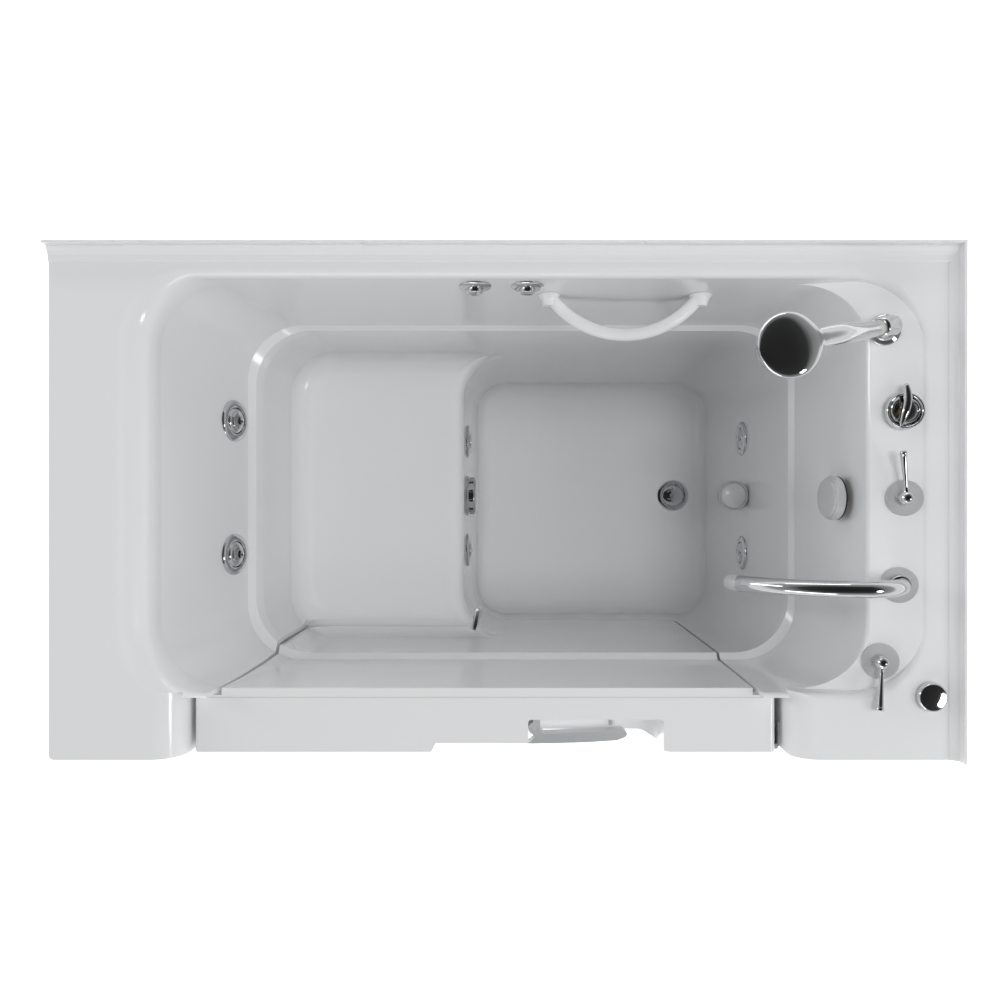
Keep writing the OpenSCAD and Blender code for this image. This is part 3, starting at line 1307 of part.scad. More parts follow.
module latch_keepers() color(chrome)
    for (z = [bolt_low_z, bolt_top_z]) translate([door_x0 - door_gap, bolt_y, z]) difference() {
        translate([0, -12, -25]) cube([1.1, 24, 50]);
        translate([-1, 0, 0]) rotate([0, 90, 0]) cylinder(r = bolt_r + 1, h = 4, $fn = coarse);
    }

knuckle_h = (hinge_z1 - hinge_z0) / knuckles;

module hinge_knuckles(first, side) {
    for (i = [first:2:knuckles - 1]) translate([hinge_x, hinge_y, hinge_z0 + i * knuckle_h + 0.25]) {
        cylinder(r = barrel_r, h = knuckle_h - 0.5, $fn = fine);
        translate([side > 0 ? 0 : -(hinge_x - door_x1), 0.6, 0])
            cube([hinge_x - door_x1, 3.4, knuckle_h - 0.5]);
    }
}

module hinge_leaf(first, side) difference() {
    union() {
        hinge_knuckles(first, side);
        translate([side > 0 ? jamb_x1 - leaf_t : door_x1, hinge_y + 3, hinge_z0])
            cube([leaf_t, leaf_w, hinge_z1 - hinge_z0]);
    }
    translate([hinge_x, hinge_y, hinge_z0 - 1])
        cylinder(r = hinge_pin_r + run_clear, h = hinge_z1 - hinge_z0 + 2, $fn = fine);
}

module hinge_door_leaf() color(chrome) hinge_leaf(1, -1);

module hinge_tub_leaf() color(chrome) hinge_leaf(0, 1);

module hinge_pin() color(chrome) translate([hinge_x, hinge_y, hinge_z0 - 2])
    cylinder(r = hinge_pin_r, h = hinge_z1 - hinge_z0 + 4, $fn = fine);

tub_shell();
tile_flange();
front_access_panel();
end_access_panel();
panel_screws();
base_frame();
frame_posts();
levelling_feet();
foot_lock_nuts();
equipment_tray();
grab_bar();
jet_bodies();
jet_rings();
jet_face(jets[0]);  // back_jet_face_rear
jet_face(jets[1]);  // back_jet_face_front
jet_face(jets[2]);  // riser_jet_face_rear
jet_face(jets[3]);  // riser_jet_face_front
jet_face(jets[4]);  // end_jet_face_rear
jet_face(jets[5]);  // end_jet_face_front
suction_body();
suction_cover();
light_housing();
light_lens();
drain_ring();
drain_plug();
waste_pipes();
overflow_body();
overflow_knob();
drain_cable();
pump_volute();
pump_motor();
suction_pipe();
water_manifold();
air_lines();
control_box();
button_rings();
push_button(button_xs[0]);  // pump_button
push_button(button_xs[1]);  // heater_button
valve_bodies();
cover_plates();
mixing_pipes();
spout();
hot_lever();
cold_lever();
diverter_dial();
shower_holder();
hand_shower();
air_control_body();
air_control_knob();
door_outer_panel();
door_inner_panel();
door_frame();
door_seal();
door_lever();
lever_bracket();
latch_bolts();
latch_keepers();
hinge_door_leaf();
hinge_tub_leaf();
hinge_pin();
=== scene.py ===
"""Looks of a walk-in jetted bathtub, built around its packed frame.

Lengths in the functions below are in millimetres along the frame's own axes, and a
depth is measured downwards from the deck.
"""
import math

import bmesh
import bpy
from bpy.props import FloatProperty, FloatVectorProperty, IntProperty, PointerProperty
from mathutils import Matrix, Vector


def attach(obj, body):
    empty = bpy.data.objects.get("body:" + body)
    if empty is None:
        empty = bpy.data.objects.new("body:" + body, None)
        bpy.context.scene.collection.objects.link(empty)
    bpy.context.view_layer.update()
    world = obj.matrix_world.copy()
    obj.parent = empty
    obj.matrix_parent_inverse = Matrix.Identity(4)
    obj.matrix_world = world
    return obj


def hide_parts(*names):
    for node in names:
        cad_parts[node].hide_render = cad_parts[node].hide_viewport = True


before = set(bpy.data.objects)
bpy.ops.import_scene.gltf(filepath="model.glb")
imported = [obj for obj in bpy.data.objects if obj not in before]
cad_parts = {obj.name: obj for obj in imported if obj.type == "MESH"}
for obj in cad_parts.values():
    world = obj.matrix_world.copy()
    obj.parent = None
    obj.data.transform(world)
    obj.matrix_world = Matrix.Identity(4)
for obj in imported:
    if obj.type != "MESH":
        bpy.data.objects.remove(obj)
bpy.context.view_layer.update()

bl_info = {
    "name": "Walk-in jetted bathtub",
    "version": (1, 0, 0),
    "blender": (4, 5, 0),
    "location": "View3D > Sidebar > Bathtub",
    "description": "Builds the visible pieces and finishes of a walk-in jetted bathtub",
    "category": "Object",
}

MM = 0.001

# The tub's plan, its levels and its drafts, as in the part's source
HALF_W, HALF_D, DECK, SHELL = 655.0, 371.0, 1010.0, 6.0
FRONT = -HALF_D
RIM_X0, RIM_X1, RIM_Y0, RIM_Y1 = -569.0, 545.0, -288.0, 338.0
PLATFORM_X, PLATFORM_TILT, PLATFORM_STEP, PLATFORM_CORNER = 608.0, 12.0, 2.0, 104.0
RIM_R, LIP_R, FRONT_LIP, HEAD_ROLL = 112.0, 14.0, 12.0, 56.0
LEDGE, LEDGE_FOOT, LEDGE_W, LEDGE_H = 265.0, 290.0, 8.0, 25.0
SEAT_DEPTH, SEAT_R, NOSE_R, SEAT_L = 500.0, 40.0, 25.0, 344.0
SEAT_GAP = 0.3
FLOOR_DEPTH, FLOOR_R = 895.0, 34.0
MID_Y = 12.0
HEAD_DRAFT, END_DRAFT, BACK_DRAFT, FRONT_DRAFT, RISER_DRAFT = 19.0, 5.9, 4.1, 0.5, 3.0
LOW_HEAD_DRAFT, LOW_END_DRAFT, LOW_BACK_DRAFT, LOW_FRONT_DRAFT = 2.0, 0.4, 1.2, 1.0

DOOR_X0, DOOR_X1, DOOR_STEP_X = -460.0, 403.5, -84.0
DOOR_TOP, DOOR_SEAT_Z, DOOR_FOOT_Z = 970.0, 490.0, 240.0
DOOR_R, DOOR_GAP, SKIN_T = 26.0, 5.5, 4.0
JAMB_X = DOOR_X1 + 9
PILLAR_LEFT_Z, PILLAR_RIGHT_Z, PANEL_GAP = 476.5, 228.5, 2.0
BOLT_Y, BOLT_R, SPINDLE_R = -326.0, 6.3, 5.3
STEP_EASE = 2.6
DOOR_BACK, FRAME_Y, PLATE_Y, PLUG_IN_Y = -286.0, -282.0, -290.0, -250.0
SILL_H, SEAT_H, PLUG_GAP = 265.0, 510.0, 5.0
END_ROLL = 45.0
RECESS_X0, RECESS_X1, RECESS_SWEEP, RECESS_Z, RECESS_D = -108.0, 247.0, 38.0, 600.0, 13.0
POCKET_X0, POCKET_X1, POCKET_Z, POCKET_D = 36.0, 237.0, 888.0, 48.0
LEVER = Vector((46.0, -344.0, 919.0))

JET_FACE_R, HEAD_R, HEAD_REACH = 22.0, 43.6, 181
SPOUT_AT, HOT_AT, COLD_AT = (572.0, -120.0), (579.0, 6.0), (547.0, -231.0)
DIAL_AT, HOLDER_AT, AIR_AT = (578.0, 131.0), (553.0, 250.0), (612.0, -279.0)
DRAIN_AT, RISER_AT = (419.9, 14.0), (555.0, 6.0)
RISER_DEPTH, LIGHT_DEPTH, OVERFLOW_DEPTH = 600, 510, 90
BUTTON_XS, BUTTON_DEPTH = (-43, 35), 45
BAR_X, BAR_HALF, BAR_DEPTH = 186, 116.5, 90
PUMP_Y, PUMP_Z, TRAY_TOP = -60, 201, 117


def sin(degrees):
    return math.sin(math.radians(degrees))


def cos(degrees):
    return math.cos(math.radians(degrees))


def tan(degrees):
    return math.tan(math.radians(degrees))


def spread(low, high, count):
    """count + 1 even values from low to high."""
    return [low + (high - low) * i / count for i in range(count + 1)]


# The basin's walls at a depth below the deck

def head_x(d):
    if d <= LEDGE:
        return RIM_X0 + HEAD_ROLL + (d - HEAD_ROLL) * tan(HEAD_DRAFT)
    return (head_x(LEDGE) + LEDGE_W + min(d - LEDGE, LEDGE_H) * tan(HEAD_DRAFT)
            + max(d - LEDGE_FOOT, 0) * tan(LOW_HEAD_DRAFT))


def end_x(d):
    if d <= LEDGE:
        return RIM_X1 - LIP_R - (d - LIP_R) * tan(END_DRAFT)
    return end_x(LEDGE) - LEDGE_W - (d - LEDGE_FOOT) * tan(LOW_END_DRAFT)


def back_y(d):
    if d <= LEDGE:
        return RIM_Y1 - LIP_R - (d - LIP_R) * tan(BACK_DRAFT)
    return back_y(LEDGE) - LEDGE_W - (d - LEDGE_FOOT) * tan(LOW_BACK_DRAFT)


def front_y(d):
    if d <= LEDGE:
        return RIM_Y0 + FRONT_LIP + (d - LIP_R) * tan(FRONT_DRAFT)
    return front_y(LEDGE) + LEDGE_W + 2 - (d - LEDGE_FOOT) * tan(LOW_FRONT_DRAFT)


def corner_r(d):
    if d <= LEDGE_FOOT:
        return RIM_R - LIP_R - 3 * d / LEDGE_FOOT
    return RIM_R - LIP_R - 3 - 25 * (d - LEDGE_FOOT) / (FLOOR_DEPTH - LEDGE_FOOT)


SEAT_FRONT = head_x(LEDGE_FOOT) + SEAT_L


def riser_x(d):
    return SEAT_FRONT + (d - SEAT_DEPTH) * tan(RISER_DRAFT)


# A section is (depth, x0, x1, y0, y1, corner radius)

def rolled_head(d):
    return RIM_X0 + math.sqrt(HEAD_ROLL ** 2 - (HEAD_ROLL - min(d, HEAD_ROLL)) ** 2)


def lip_section(angle):
    d, s = LIP_R * (1 - cos(angle)), sin(angle)
    return (d, rolled_head(d), RIM_X1 - LIP_R * s, RIM_Y0 + FRONT_LIP * s,
            RIM_Y1 - LIP_R * s, RIM_R - LIP_R * s)


def wall_section(d, x0=None):
    if x0 is None:
        x0 = rolled_head(d) if d < HEAD_ROLL else head_x(d)
    return d, x0, end_x(d), front_y(d), back_y(d), corner_r(d)


def inset(section, angle, r):
    """The section carried round a radius r at the foot of the walls."""
    d, x0, x1, y0, y1, corner = section
    k = r * (1 - cos(angle))
    return d + r * sin(angle), x0 + k, x1 - k, y0 + k, y1 - k, corner - k / 2


def end_flare(d):
    """The end wall's place where the tap platform rolls over into it."""
    r, foot = 12, 27
    k = max(0, min(r, foot - d))
    return end_x(foot) + r - math.sqrt(r * r - k * k)


def bowl_sections(steps):
    rows = [lip_section(a) for a in spread(0, 90, steps)]
    rows += [wall_section(d) for d in (15, 15.5, 16.6, 18.5, 21, 24, 27, 33, 40, 48, HEAD_ROLL, 160,
                                       LEDGE - 6, LEDGE + 4, LEDGE_FOOT - 4, LEDGE_FOOT + 6, 380)]
    rows = [(d, x0, end_flare(d) if d < 27 else x1, *rest) for d, x0, x1, *rest in rows]
    return rows + [inset(wall_section(SEAT_DEPTH - SEAT_R), a, SEAT_R) for a in spread(0, 90, steps)]


def well_sections(steps):
    top = wall_section(SEAT_DEPTH - SEAT_R, SEAT_FRONT - NOSE_R)
    start = tuple(a + b for a, b in zip(top, (-12, 0, -3, 3, -3, 0)))
    rows = [start, top]
    for a in spread(90, 0, steps):
        d = SEAT_DEPTH + NOSE_R * (1 - sin(a))
        rows.append(wall_section(d, riser_x(d) - NOSE_R * (1 - cos(a))))
    foot = FLOOR_DEPTH - FLOOR_R
    rows += [wall_section(d, riser_x(d)) for d in (620, 740)]
    return rows + [inset(wall_section(foot, riser_x(foot)), a, FLOOR_R) for a in spread(0, 90, steps)]


# Places on the tub, whose +Z leaves the surface

def turned(axis, degrees):
    return Matrix.Rotation(math.radians(degrees), 4, axis)


def moved(x, y, z):
    return Matrix.Translation((x, y, z))


def on_platform(place, up=0.0):
    x, y = place
    return (moved(PLATFORM_X, y, DECK - PLATFORM_STEP) @ turned("Y", -PLATFORM_TILT)
            @ moved((x - PLATFORM_X) / cos(PLATFORM_TILT), 0, up))


def on_wall(x, y, depth, tilt, side):
    return moved(x, y, DECK - depth) @ turned("Y", side * (90 - tilt))


def on_back_wall(x, depth):
    return moved(x, back_y(depth), DECK - depth) @ turned("X", 90 - BACK_DRAFT)


def on_end_wall(y, depth):
    return moved(end_x(depth), y, DECK - depth) @ turned("Y", END_DRAFT - 90)


def on_light():
    return moved(end_x(LIGHT_DEPTH), MID_Y, DECK - LIGHT_DEPTH) @ turned("Y", LOW_END_DRAFT - 90)


def on_lens():
    return on_light() @ moved(0, 0, 29.5) @ turned("Y", 62)


def on_overflow():
    return on_end_wall(MID_Y - 6, OVERFLOW_DEPTH)


def on_buttons():
    return [on_back_wall(x, BUTTON_DEPTH) for x in BUTTON_XS]


def on_bar_ends():
    return [on_back_wall(BAR_X + s * BAR_HALF, BAR_DEPTH) for s in (-1, 1)]


def on_riser():
    return on_wall(*SUCTION)


# A place on a wall is (x, y, depth, draft, side that it faces). Each pair of jets stands
# at half its spacing on both sides of a middle line.
SUCTION = (riser_x(RISER_DEPTH), MID_Y, RISER_DEPTH, RISER_DRAFT, 1)
JETS = {
    f"{wall}_jet_face_{end}": (wall_x(depth), middle + s * half, depth, draft, side)
    for wall, wall_x, depth, draft, middle, half, side in (
        ("back", head_x, 222, HEAD_DRAFT, 24, 113, 1),
        ("riser", riser_x, RISER_DEPTH, RISER_DRAFT, MID_Y, 115, 1),
        ("end", end_x, 550, LOW_END_DRAFT, MID_Y, 118, -1))
    for end, s in (("rear", 1), ("front", -1))
}
SHOWER_DIR = Vector((-190, -49, 120)).normalized()
HOLDER_POINT = on_platform(HOLDER_AT, 30).translation


def along_shower(up=0.0):
    aim = SHOWER_DIR.to_track_quat("Z", "Y").to_matrix().to_4x4()
    return Matrix.Translation(HOLDER_POINT) @ aim @ moved(0, 0, up)


def chosen():
    """The sizes that the user chose."""
    return bpy.context.scene.bathtub_sizes


# Mesh helpers

def new_object(name, points, faces, place=None, edges=()):
    """An object at the origin whose mesh holds points in millimetres, carried by place."""
    place = place or Matrix.Identity(4)
    mesh = bpy.data.meshes.new(name)
    mesh.from_pydata([place @ Vector(p) * MM for p in points], edges, faces)
    mesh.update()
    obj = bpy.data.objects.new(name, mesh)
    bpy.context.scene.collection.objects.link(obj)
    return obj


def rounded(points, radii, steps=6):
    """A closed outline whose corners are turned on arcs."""
    out = []
    for i, point in enumerate(points):
        r = radii[i] if isinstance(radii, (list, tuple)) else radii
        p = Vector(point)
        if r <= 0:
            out.append(p)
            continue
        u = (Vector(points[i - 1]) - p).normalized()
        v = (Vector(points[(i + 1) % len(points)]) - p).normalized()
        half = math.acos(max(-1, min(1, u.dot(v)))) / 2
        out += arc_between(p, u, v, r, half, steps)
    return out


def arc_between(p, u, v, r, half, steps):
    """Points on the arc of radius r tangent to the directions u and v from p."""
    centre = p + (u + v).normalized() * r / math.sin(half)
    a, b = p + u * r / math.tan(half) - centre, p + v * r / math.tan(half) - centre
    sweep_angle = math.pi - 2 * half
    rows = []
    for i in range(steps + 1):
        t = i / steps
        rows.append(centre + (a * math.sin((1 - t) * sweep_angle) + b * math.sin(t * sweep_angle))
                    / math.sin(sweep_angle))
    return rows


def rounded_line(points, r, steps=8):
    """An open line whose inner corners are turned on arcs of radius r."""
    out = [Vector(points[0])]
    for before, point, after in zip(points, points[1:], points[2:]):
        p = Vector(point)
        u, v = (Vector(before) - p).normalized(), (Vector(after) - p).normalized()
        half = math.acos(max(-1, min(1, u.dot(v)))) / 2
        if half > math.radians(89):
            continue
        out += arc_between(p, u, v, r, half, steps)
    return out + [Vector(points[-1])]


def prism(name, outline, low, high, place=None):
    """A solid between two levels of its own Z whose outline lies in X and Y."""
    n = len(outline)
    points = [(p[0], p[1], z) for z in (low, high) for p in outline]
    area = sum(a[0] * b[1] - b[0] * a[1] for a, b in zip(outline, [*outline[1:], outline[0]]))
    faces = [list(range(n - 1, -1, -1)), list(range(n, 2 * n))]
    faces += [[i, (i + 1) % n, n + (i + 1) % n, n + i] for i in range(n)]
    if area < 0:
        faces = [face[::-1] for face in faces]
    return new_object(name, points, faces, place)


UPRIGHT = turned("X", 90)


def upright(name, outline, y0, y1):
    """A solid between two values of Y whose outline lies in X and Z."""
    return prism(name, outline, -y1, -y0, UPRIGHT)


def block(name, low, high):
    outline = [(low[0], low[1]), (high[0], low[1]), (high[0], high[1]), (low[0], high[1])]
    return prism(name, outline, low[2], high[2])


def disc(r, steps=64):
    return [(r * math.cos(math.tau * i / steps), r * math.sin(math.tau * i / steps)) for i in range(steps)]


def rod(name, r, low, high, place=None, steps=64):
    return prism(name, disc(r, steps), low, high, place)


def loft(name, sections, grow=0.0, steps=14):
    """A closed skin through sections from the top down, grown outwards."""
    points, n = [], 4 * (steps + 1)
    for d, x0, x1, y0, y1, r in sections:
        z = DECK - d - (grow if d > LEDGE_FOOT else 0)
        mids = ((x1 - r, y1 - r), (x0 + r, y1 - r), (x0 + r, y0 + r), (x1 - r, y0 + r))
        for k, (mx, my) in enumerate(mids):
            for i in range(steps + 1):
                a = 90 * (k + i / steps)
                points.append((mx + (r + grow) * cos(a), my + (r + grow) * sin(a), z))
    last = (len(sections) - 1) * n
    faces = [list(range(n)), [last + i for i in range(n - 1, -1, -1)]]
    for k in range(len(sections) - 1):
        for i in range(n):
            a, b = k * n + i, k * n + (i + 1) % n
            faces.append([a, a + n, b + n, b])
    return new_object(name, points, faces)


def lathe(name, profile, place=None, steps=None, closed=False):
    """A turned solid from (radius, height) points. A closed profile makes a ring."""
    steps = steps or chosen().round_steps
    points, rings = [], []
    for r, z in profile:
        if r < 1e-6:
            rings.append([len(points)])
            points.append((0, 0, z))
        else:
            rings.append(list(range(len(points), len(points) + steps)))
            points += [(x, y, z) for x, y in disc(r, steps)]
    pairs = list(zip(rings, rings[1:] + rings[:1])) if closed else list(zip(rings, rings[1:]))
    faces = []
    for a, b in pairs:
        for i in range(steps):
            j = (i + 1) % steps
            if len(a) == 1 and len(b) == 1:
                continue
            if len(a) == 1:
                faces.append([a[0], b[j], b[i]])
            elif len(b) == 1:
                faces.append([a[i], a[j], b[0]])
            else:
                faces.append([a[i], a[j], b[j], b[i]])
    if not closed:
        if len(rings[0]) > 1:
            faces.append(rings[0][::-1])
        if len(rings[-1]) > 1:
            faces.append(rings[-1])
    obj = new_object(name, points, faces, place)
    face_outwards(obj)
    return obj


def face_outwards(obj):
    mesh = bmesh.new()
    mesh.from_mesh(obj.data)
    bmesh.ops.remove_doubles(mesh, verts=mesh.verts, dist=1e-7)
    bmesh.ops.recalc_face_normals(mesh, faces=mesh.faces)
    mesh.to_mesh(obj.data)
    mesh.free()


def sweep(name, line, radius, steps=32, place=None, flat=None, up=None):
    """A round or flattened bar along a line. radius is one value or one for each point;
    flat gives a second half-width across, whose direction stays nearest to up."""
    line = [Vector(p) for p in line]
    count = len(line)
    radii = radius if isinstance(radius, (list, tuple)) else [radius] * count
    flats = flat if isinstance(flat, (list, tuple)) else [flat or 0] * count
    points, side = [], None
    for i, p in enumerate(line):
        ahead = (line[min(i + 1, count - 1)] - line[max(i - 1, 0)]).normalized()
        if side is None or up is not None:
            lead = up or ((0, 0, 1) if abs(ahead.z) < 0.9 else (1, 0, 0))
            side = ahead.cross(Vector(lead)).normalized()
        else:
            side = (side - ahead * side.dot(ahead)).normalized()
        over = side.cross(ahead)
        for k in range(steps):
            a = math.tau * k / steps
            across = flats[i] if flats[i] else radii[i]
            points.append(p + side * across * math.cos(a) + over * radii[i] * math.sin(a))
    faces = [list(range(steps)), [(count - 1) * steps + k for k in range(steps - 1, -1, -1)]]
    for i in range(count - 1):
        for k in range(steps):
            a, b = i * steps + k, i * steps + (k + 1) % steps
            faces.append([a, a + steps, b + steps, b])
    obj = new_object(name, points, faces, place)
    face_outwards(obj)
    return obj


def carve(name, solids, cuts=()):
    """The union of solids less the cuts, as one plain mesh object."""
    base = solids[0]
    for operation, others in (("UNION", solids[1:]), ("DIFFERENCE", cuts)):
        for other in others:
            step = base.modifiers.new("carve", "BOOLEAN")
            step.operation, step.object, step.solver = operation, other, "MANIFOLD"
    settle(base)
    for other in (*solids[1:], *cuts):
        bpy.data.objects.remove(other, do_unlink=True)
    base.name = name
    return base


def settle(obj):
    """Turns the object's modifiers into its plain mesh."""
    bpy.context.view_layer.update()
    result = bpy.data.meshes.new_from_object(obj.evaluated_get(bpy.context.evaluated_depsgraph_get()))
    obj.modifiers.clear()
    obj.data = result
    return obj


def gather(name, parts):
    """One object from several closed shells."""
    whole = bmesh.new()
    for part in parts:
        whole.from_mesh(part.data)
        bpy.data.objects.remove(part, do_unlink=True)
    mesh = bpy.data.meshes.new(name)
    whole.to_mesh(mesh)
    whole.free()
    obj = bpy.data.objects.new(name, mesh)
    bpy.context.scene.collection.objects.link(obj)
    return obj


def soften(obj, width, angle=30, segments=2):
    """Rounds the sharp edges."""
    step = obj.modifiers.new("soft edge", "BEVEL")
    step.limit_method, step.angle_limit = "ANGLE", math.radians(angle)
    step.width, step.segments, step.use_clamp_overlap = width * MM, segments, True
    step.harden_normals = False
    return settle(obj)


def smooth(obj, angle=30, weighted=False):
    obj.data.shade_smooth()
    obj.data.set_sharp_from_angle(angle=math.radians(angle))
    if weighted:
        step = obj.modifiers.new("even light", "WEIGHTED_NORMAL")
        step.keep_sharp, step.weight = True, 80
        settle(obj)
    return obj


def dress(obj, body, finish, angle=30):
    """Shades a piece, gives it its finish and hangs it on its body."""
    smooth(obj, angle)
    obj.data.materials.clear()
    obj.data.materials.append(FINISHES[finish])
    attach(obj, body)
    return obj


def finish_piece(obj, body, finish, *nodes, angle=30, weighted=False):
    """Dresses a piece that stands in for its nodes."""
    dress(obj, body, finish, angle)
    if weighted:
        smooth(obj, angle, True)
    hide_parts(*nodes)
    return obj


# Finishes

class Number:
    """A number inside a finish. Sums, differences and products of it add Math nodes."""

    def __init__(self, finish, socket):
        self.finish, self.socket = finish, socket

    def combine(self, operation, other, reverse=False):
        pair = (other, self) if reverse else (self, other)
        return self.finish.number("ShaderNodeMath", {"operation": operation}, dict(enumerate(pair)))

    def __add__(self, other):
        return self.combine("ADD", other)

    def __sub__(self, other):
        return self.combine("SUBTRACT", other)

    def __rsub__(self, other):
        return self.combine("SUBTRACT", other, True)

    def __mul__(self, other):
        return self.combine("MULTIPLY", other)

    __radd__, __rmul__ = __add__, __mul__


class Finish:
    """A material built from nodes on Object coordinates."""

    def __init__(self, name):
        self.material = bpy.data.materials.new(name)
        self.material.use_nodes = True
        self.tree = self.material.node_tree
        self.tree.nodes.clear()
        self.surface = self.node("ShaderNodeBsdfPrincipled")
        self.node("ShaderNodeOutputMaterial", values={"Surface": self.surface.outputs["BSDF"]})
        self.place = self.node("ShaderNodeTexCoord").outputs["Object"]

    def node(self, kind, settings=None, values=None):
        node = self.tree.nodes.new(kind)
        for key, value in (settings or {}).items():
            setattr(node, key, value)
        for key, value in (values or {}).items():
            self.feed(node.inputs[key], value)
        return node

    def feed(self, socket, value):
        value = value.socket if isinstance(value, Number) else value
        if isinstance(value, bpy.types.NodeSocket):
            self.tree.links.new(value, socket)
        else:
            socket.default_value = value

    def number(self, kind, settings=None, values=None, output=0):
        return Number(self, self.node(kind, settings, values).outputs[output])

    def set(self, **values):
        for key, value in values.items():
            self.feed(self.surface.inputs[key.replace("_", " ")], value)

    def noise(self, scale, detail=2.0, stretch=None):
        place = self.place
        if stretch:
            place = self.node("ShaderNodeMapping", values={"Vector": place, "Scale": stretch}).outputs[0]
        return self.number("ShaderNodeTexNoise", values={"Vector": place, "Scale": scale, "Detail": detail})

    def cells(self, scale):
        return self.number("ShaderNodeTexVoronoi", values={"Vector": self.place, "Scale": scale},
                           output="Color")

    def band(self, number, low, high):
        """0 below low, 1 above high and a soft step between them."""
        return self.number("ShaderNodeMapRange", {"interpolation_type": "SMOOTHSTEP"},
                           {"Value": number, "From Min": low, "From Max": high})

    def mix(self, factor, first, second):
        colours = {0: factor, 6: self.colour(first), 7: self.colour(second)}
        return self.node("ShaderNodeMix", {"data_type": "RGBA"}, colours).outputs[2]

    def colour(self, value):
        return value if isinstance(value, bpy.types.NodeSocket) else (*value[:3], 1.0)

    def relief(self, height, depth_mm):
        """Bumps of a depth in millimetres."""
        values = {"Height": height, "Distance": depth_mm * MM, "Strength": 1.0}
        self.set(Normal=self.node("ShaderNodeBump", values=values).outputs[0])


def shade(colour, amount):
    return tuple(max(0.0, min(1.0, c * amount)) for c in colour[:3])


def acrylic_finish(colour, roughness):
    """Vacuum-formed sheet: clear gloss, slow waves and a fine orange peel."""
    finish = Finish("gloss acrylic")
    drift = finish.noise(2.6, 3)
    waves, peel = finish.noise(11, 1.5), finish.noise(420, 2)
    finish.set(Base_Color=finish.mix(drift, shade(colour, 0.985), shade(colour, 1.0)),
               Roughness=finish.band(finish.noise(6, 4), 0.35, 0.8) * 0.05 + roughness,
               Coat_Weight=0.5, Coat_Roughness=0.04, IOR=1.49)
    finish.relief(waves + peel * 0.03, 0.28)
    return finish.material


def chrome_finish(colour, roughness):
    """Polished plate with a faint haze, fine wiping marks and dull water spots."""
    finish = Finish("polished chrome")
    haze, spots = finish.noise(9, 3), finish.noise(160, 2)
    wiping = finish.noise(60, 4, (1.0, 14.0, 1.0))
    marks = finish.band(spots, 0.66, 0.74) * 0.10 + finish.band(wiping, 0.45, 0.85) * 0.03
    finish.set(Base_Color=finish.mix(haze, shade(colour, 0.94), colour), Metallic=1.0,
               Roughness=finish.band(haze, 0.4, 0.8) * 0.03 + marks + roughness)
    finish.relief(haze + wiping * 0.05, 0.05)
    return finish.material


def satin_finish(colour, roughness):
    """Plate brushed to a pale satin."""
    finish = Finish("satin chrome")
    brushing = finish.noise(90, 5, (1.0, 18.0, 18.0))
    haze = finish.noise(14, 2)
    finish.set(Base_Color=finish.mix(brushing, shade(colour, 0.92), shade(colour, 1.04)), Metallic=0.3,
               Roughness=brushing * 0.16 + haze * 0.05 + roughness)
    finish.relief(brushing, 0.03)
    return finish.material


def zinc_finish(colour):
    """Hot-dip galvanised steel with its spangle and white bloom."""
    finish = Finish("galvanised steel")
    spangle, fine = finish.cells(95), finish.noise(240, 3)
    bloom = finish.band(finish.noise(18, 5), 0.52, 0.75)
    plain = finish.mix(spangle, shade(colour, 0.72), shade(colour, 1.12))
    finish.set(Base_Color=finish.mix(bloom * 0.5, plain, (0.74, 0.75, 0.76)),
               Metallic=1 - bloom * 0.6, Roughness=0.34 + spangle * 0.16 + bloom * 0.2)
    finish.relief(spangle * 0.6 + fine * 0.4, 0.06)
    return finish.material


def moulded_finish(name, colour, roughness=0.48, grain=0.12):
    """Moulded plastic with a spark-eroded grain and rubbed patches."""
    finish = Finish(name)
    grit, patch = finish.noise(900, 3), finish.noise(22, 4)
    rubbed = finish.band(patch, 0.55, 0.72)
    finish.set(Base_Color=finish.mix(patch, shade(colour, 0.86), shade(colour, 1.12)),
               Roughness=roughness + grit * 0.1 - rubbed * 0.12)
    finish.relief(grit, grain)
    return finish.material


def paint_finish(colour):
    """Stoved motor enamel with dust on it and slight orange peel."""
    finish = Finish("motor enamel")
    peel, dust = finish.noise(380, 2), finish.band(finish.noise(30, 5), 0.5, 0.8)
    finish.set(Base_Color=finish.mix(dust * 0.35, colour, (0.48, 0.47, 0.45)),
               Roughness=0.3 + dust * 0.35, Coat_Weight=0.3, Coat_Roughness=0.12)
    finish.relief(peel, 0.08)
    return finish.material


def metal_finish(name, colour, dull, roughness=0.26):
    """Plain cast or drawn metal with darker handling marks."""
    finish = Finish(name)
    stain, grain = finish.band(finish.noise(26, 5), 0.42, 0.78), finish.noise(300, 3, (1, 1, 6))
    finish.set(Base_Color=finish.mix(stain, colour, dull), Metallic=1 - stain * 0.25,
               Roughness=roughness + stain * 0.22 + grain * 0.08)
    finish.relief(grain, 0.05)
    return finish.material


def plywood_finish(colour):
    """Sealed plywood: long figure on the faces and thin plies at the edges."""
    finish = Finish("sealed plywood")
    figure = finish.noise(14, 6, (1.2, 9.0, 9.0))
    plies = finish.number("ShaderNodeTexWave", {"bands_direction": "Z"},
                          {"Vector": finish.place, "Scale": 95.0, "Distortion": 0.6, "Detail": 2.0}, 1)
    tone = finish.mix(finish.band(figure, 0.35, 0.7), shade(colour, 0.72), shade(colour, 1.15))
    finish.set(Base_Color=finish.mix(finish.band(plies, 0.6, 0.9) * 0.3, tone, shade(colour, 0.5)),
               Roughness=0.42 + figure * 0.2)
    finish.relief(figure + plies * 0.3, 0.15)
    return finish.material


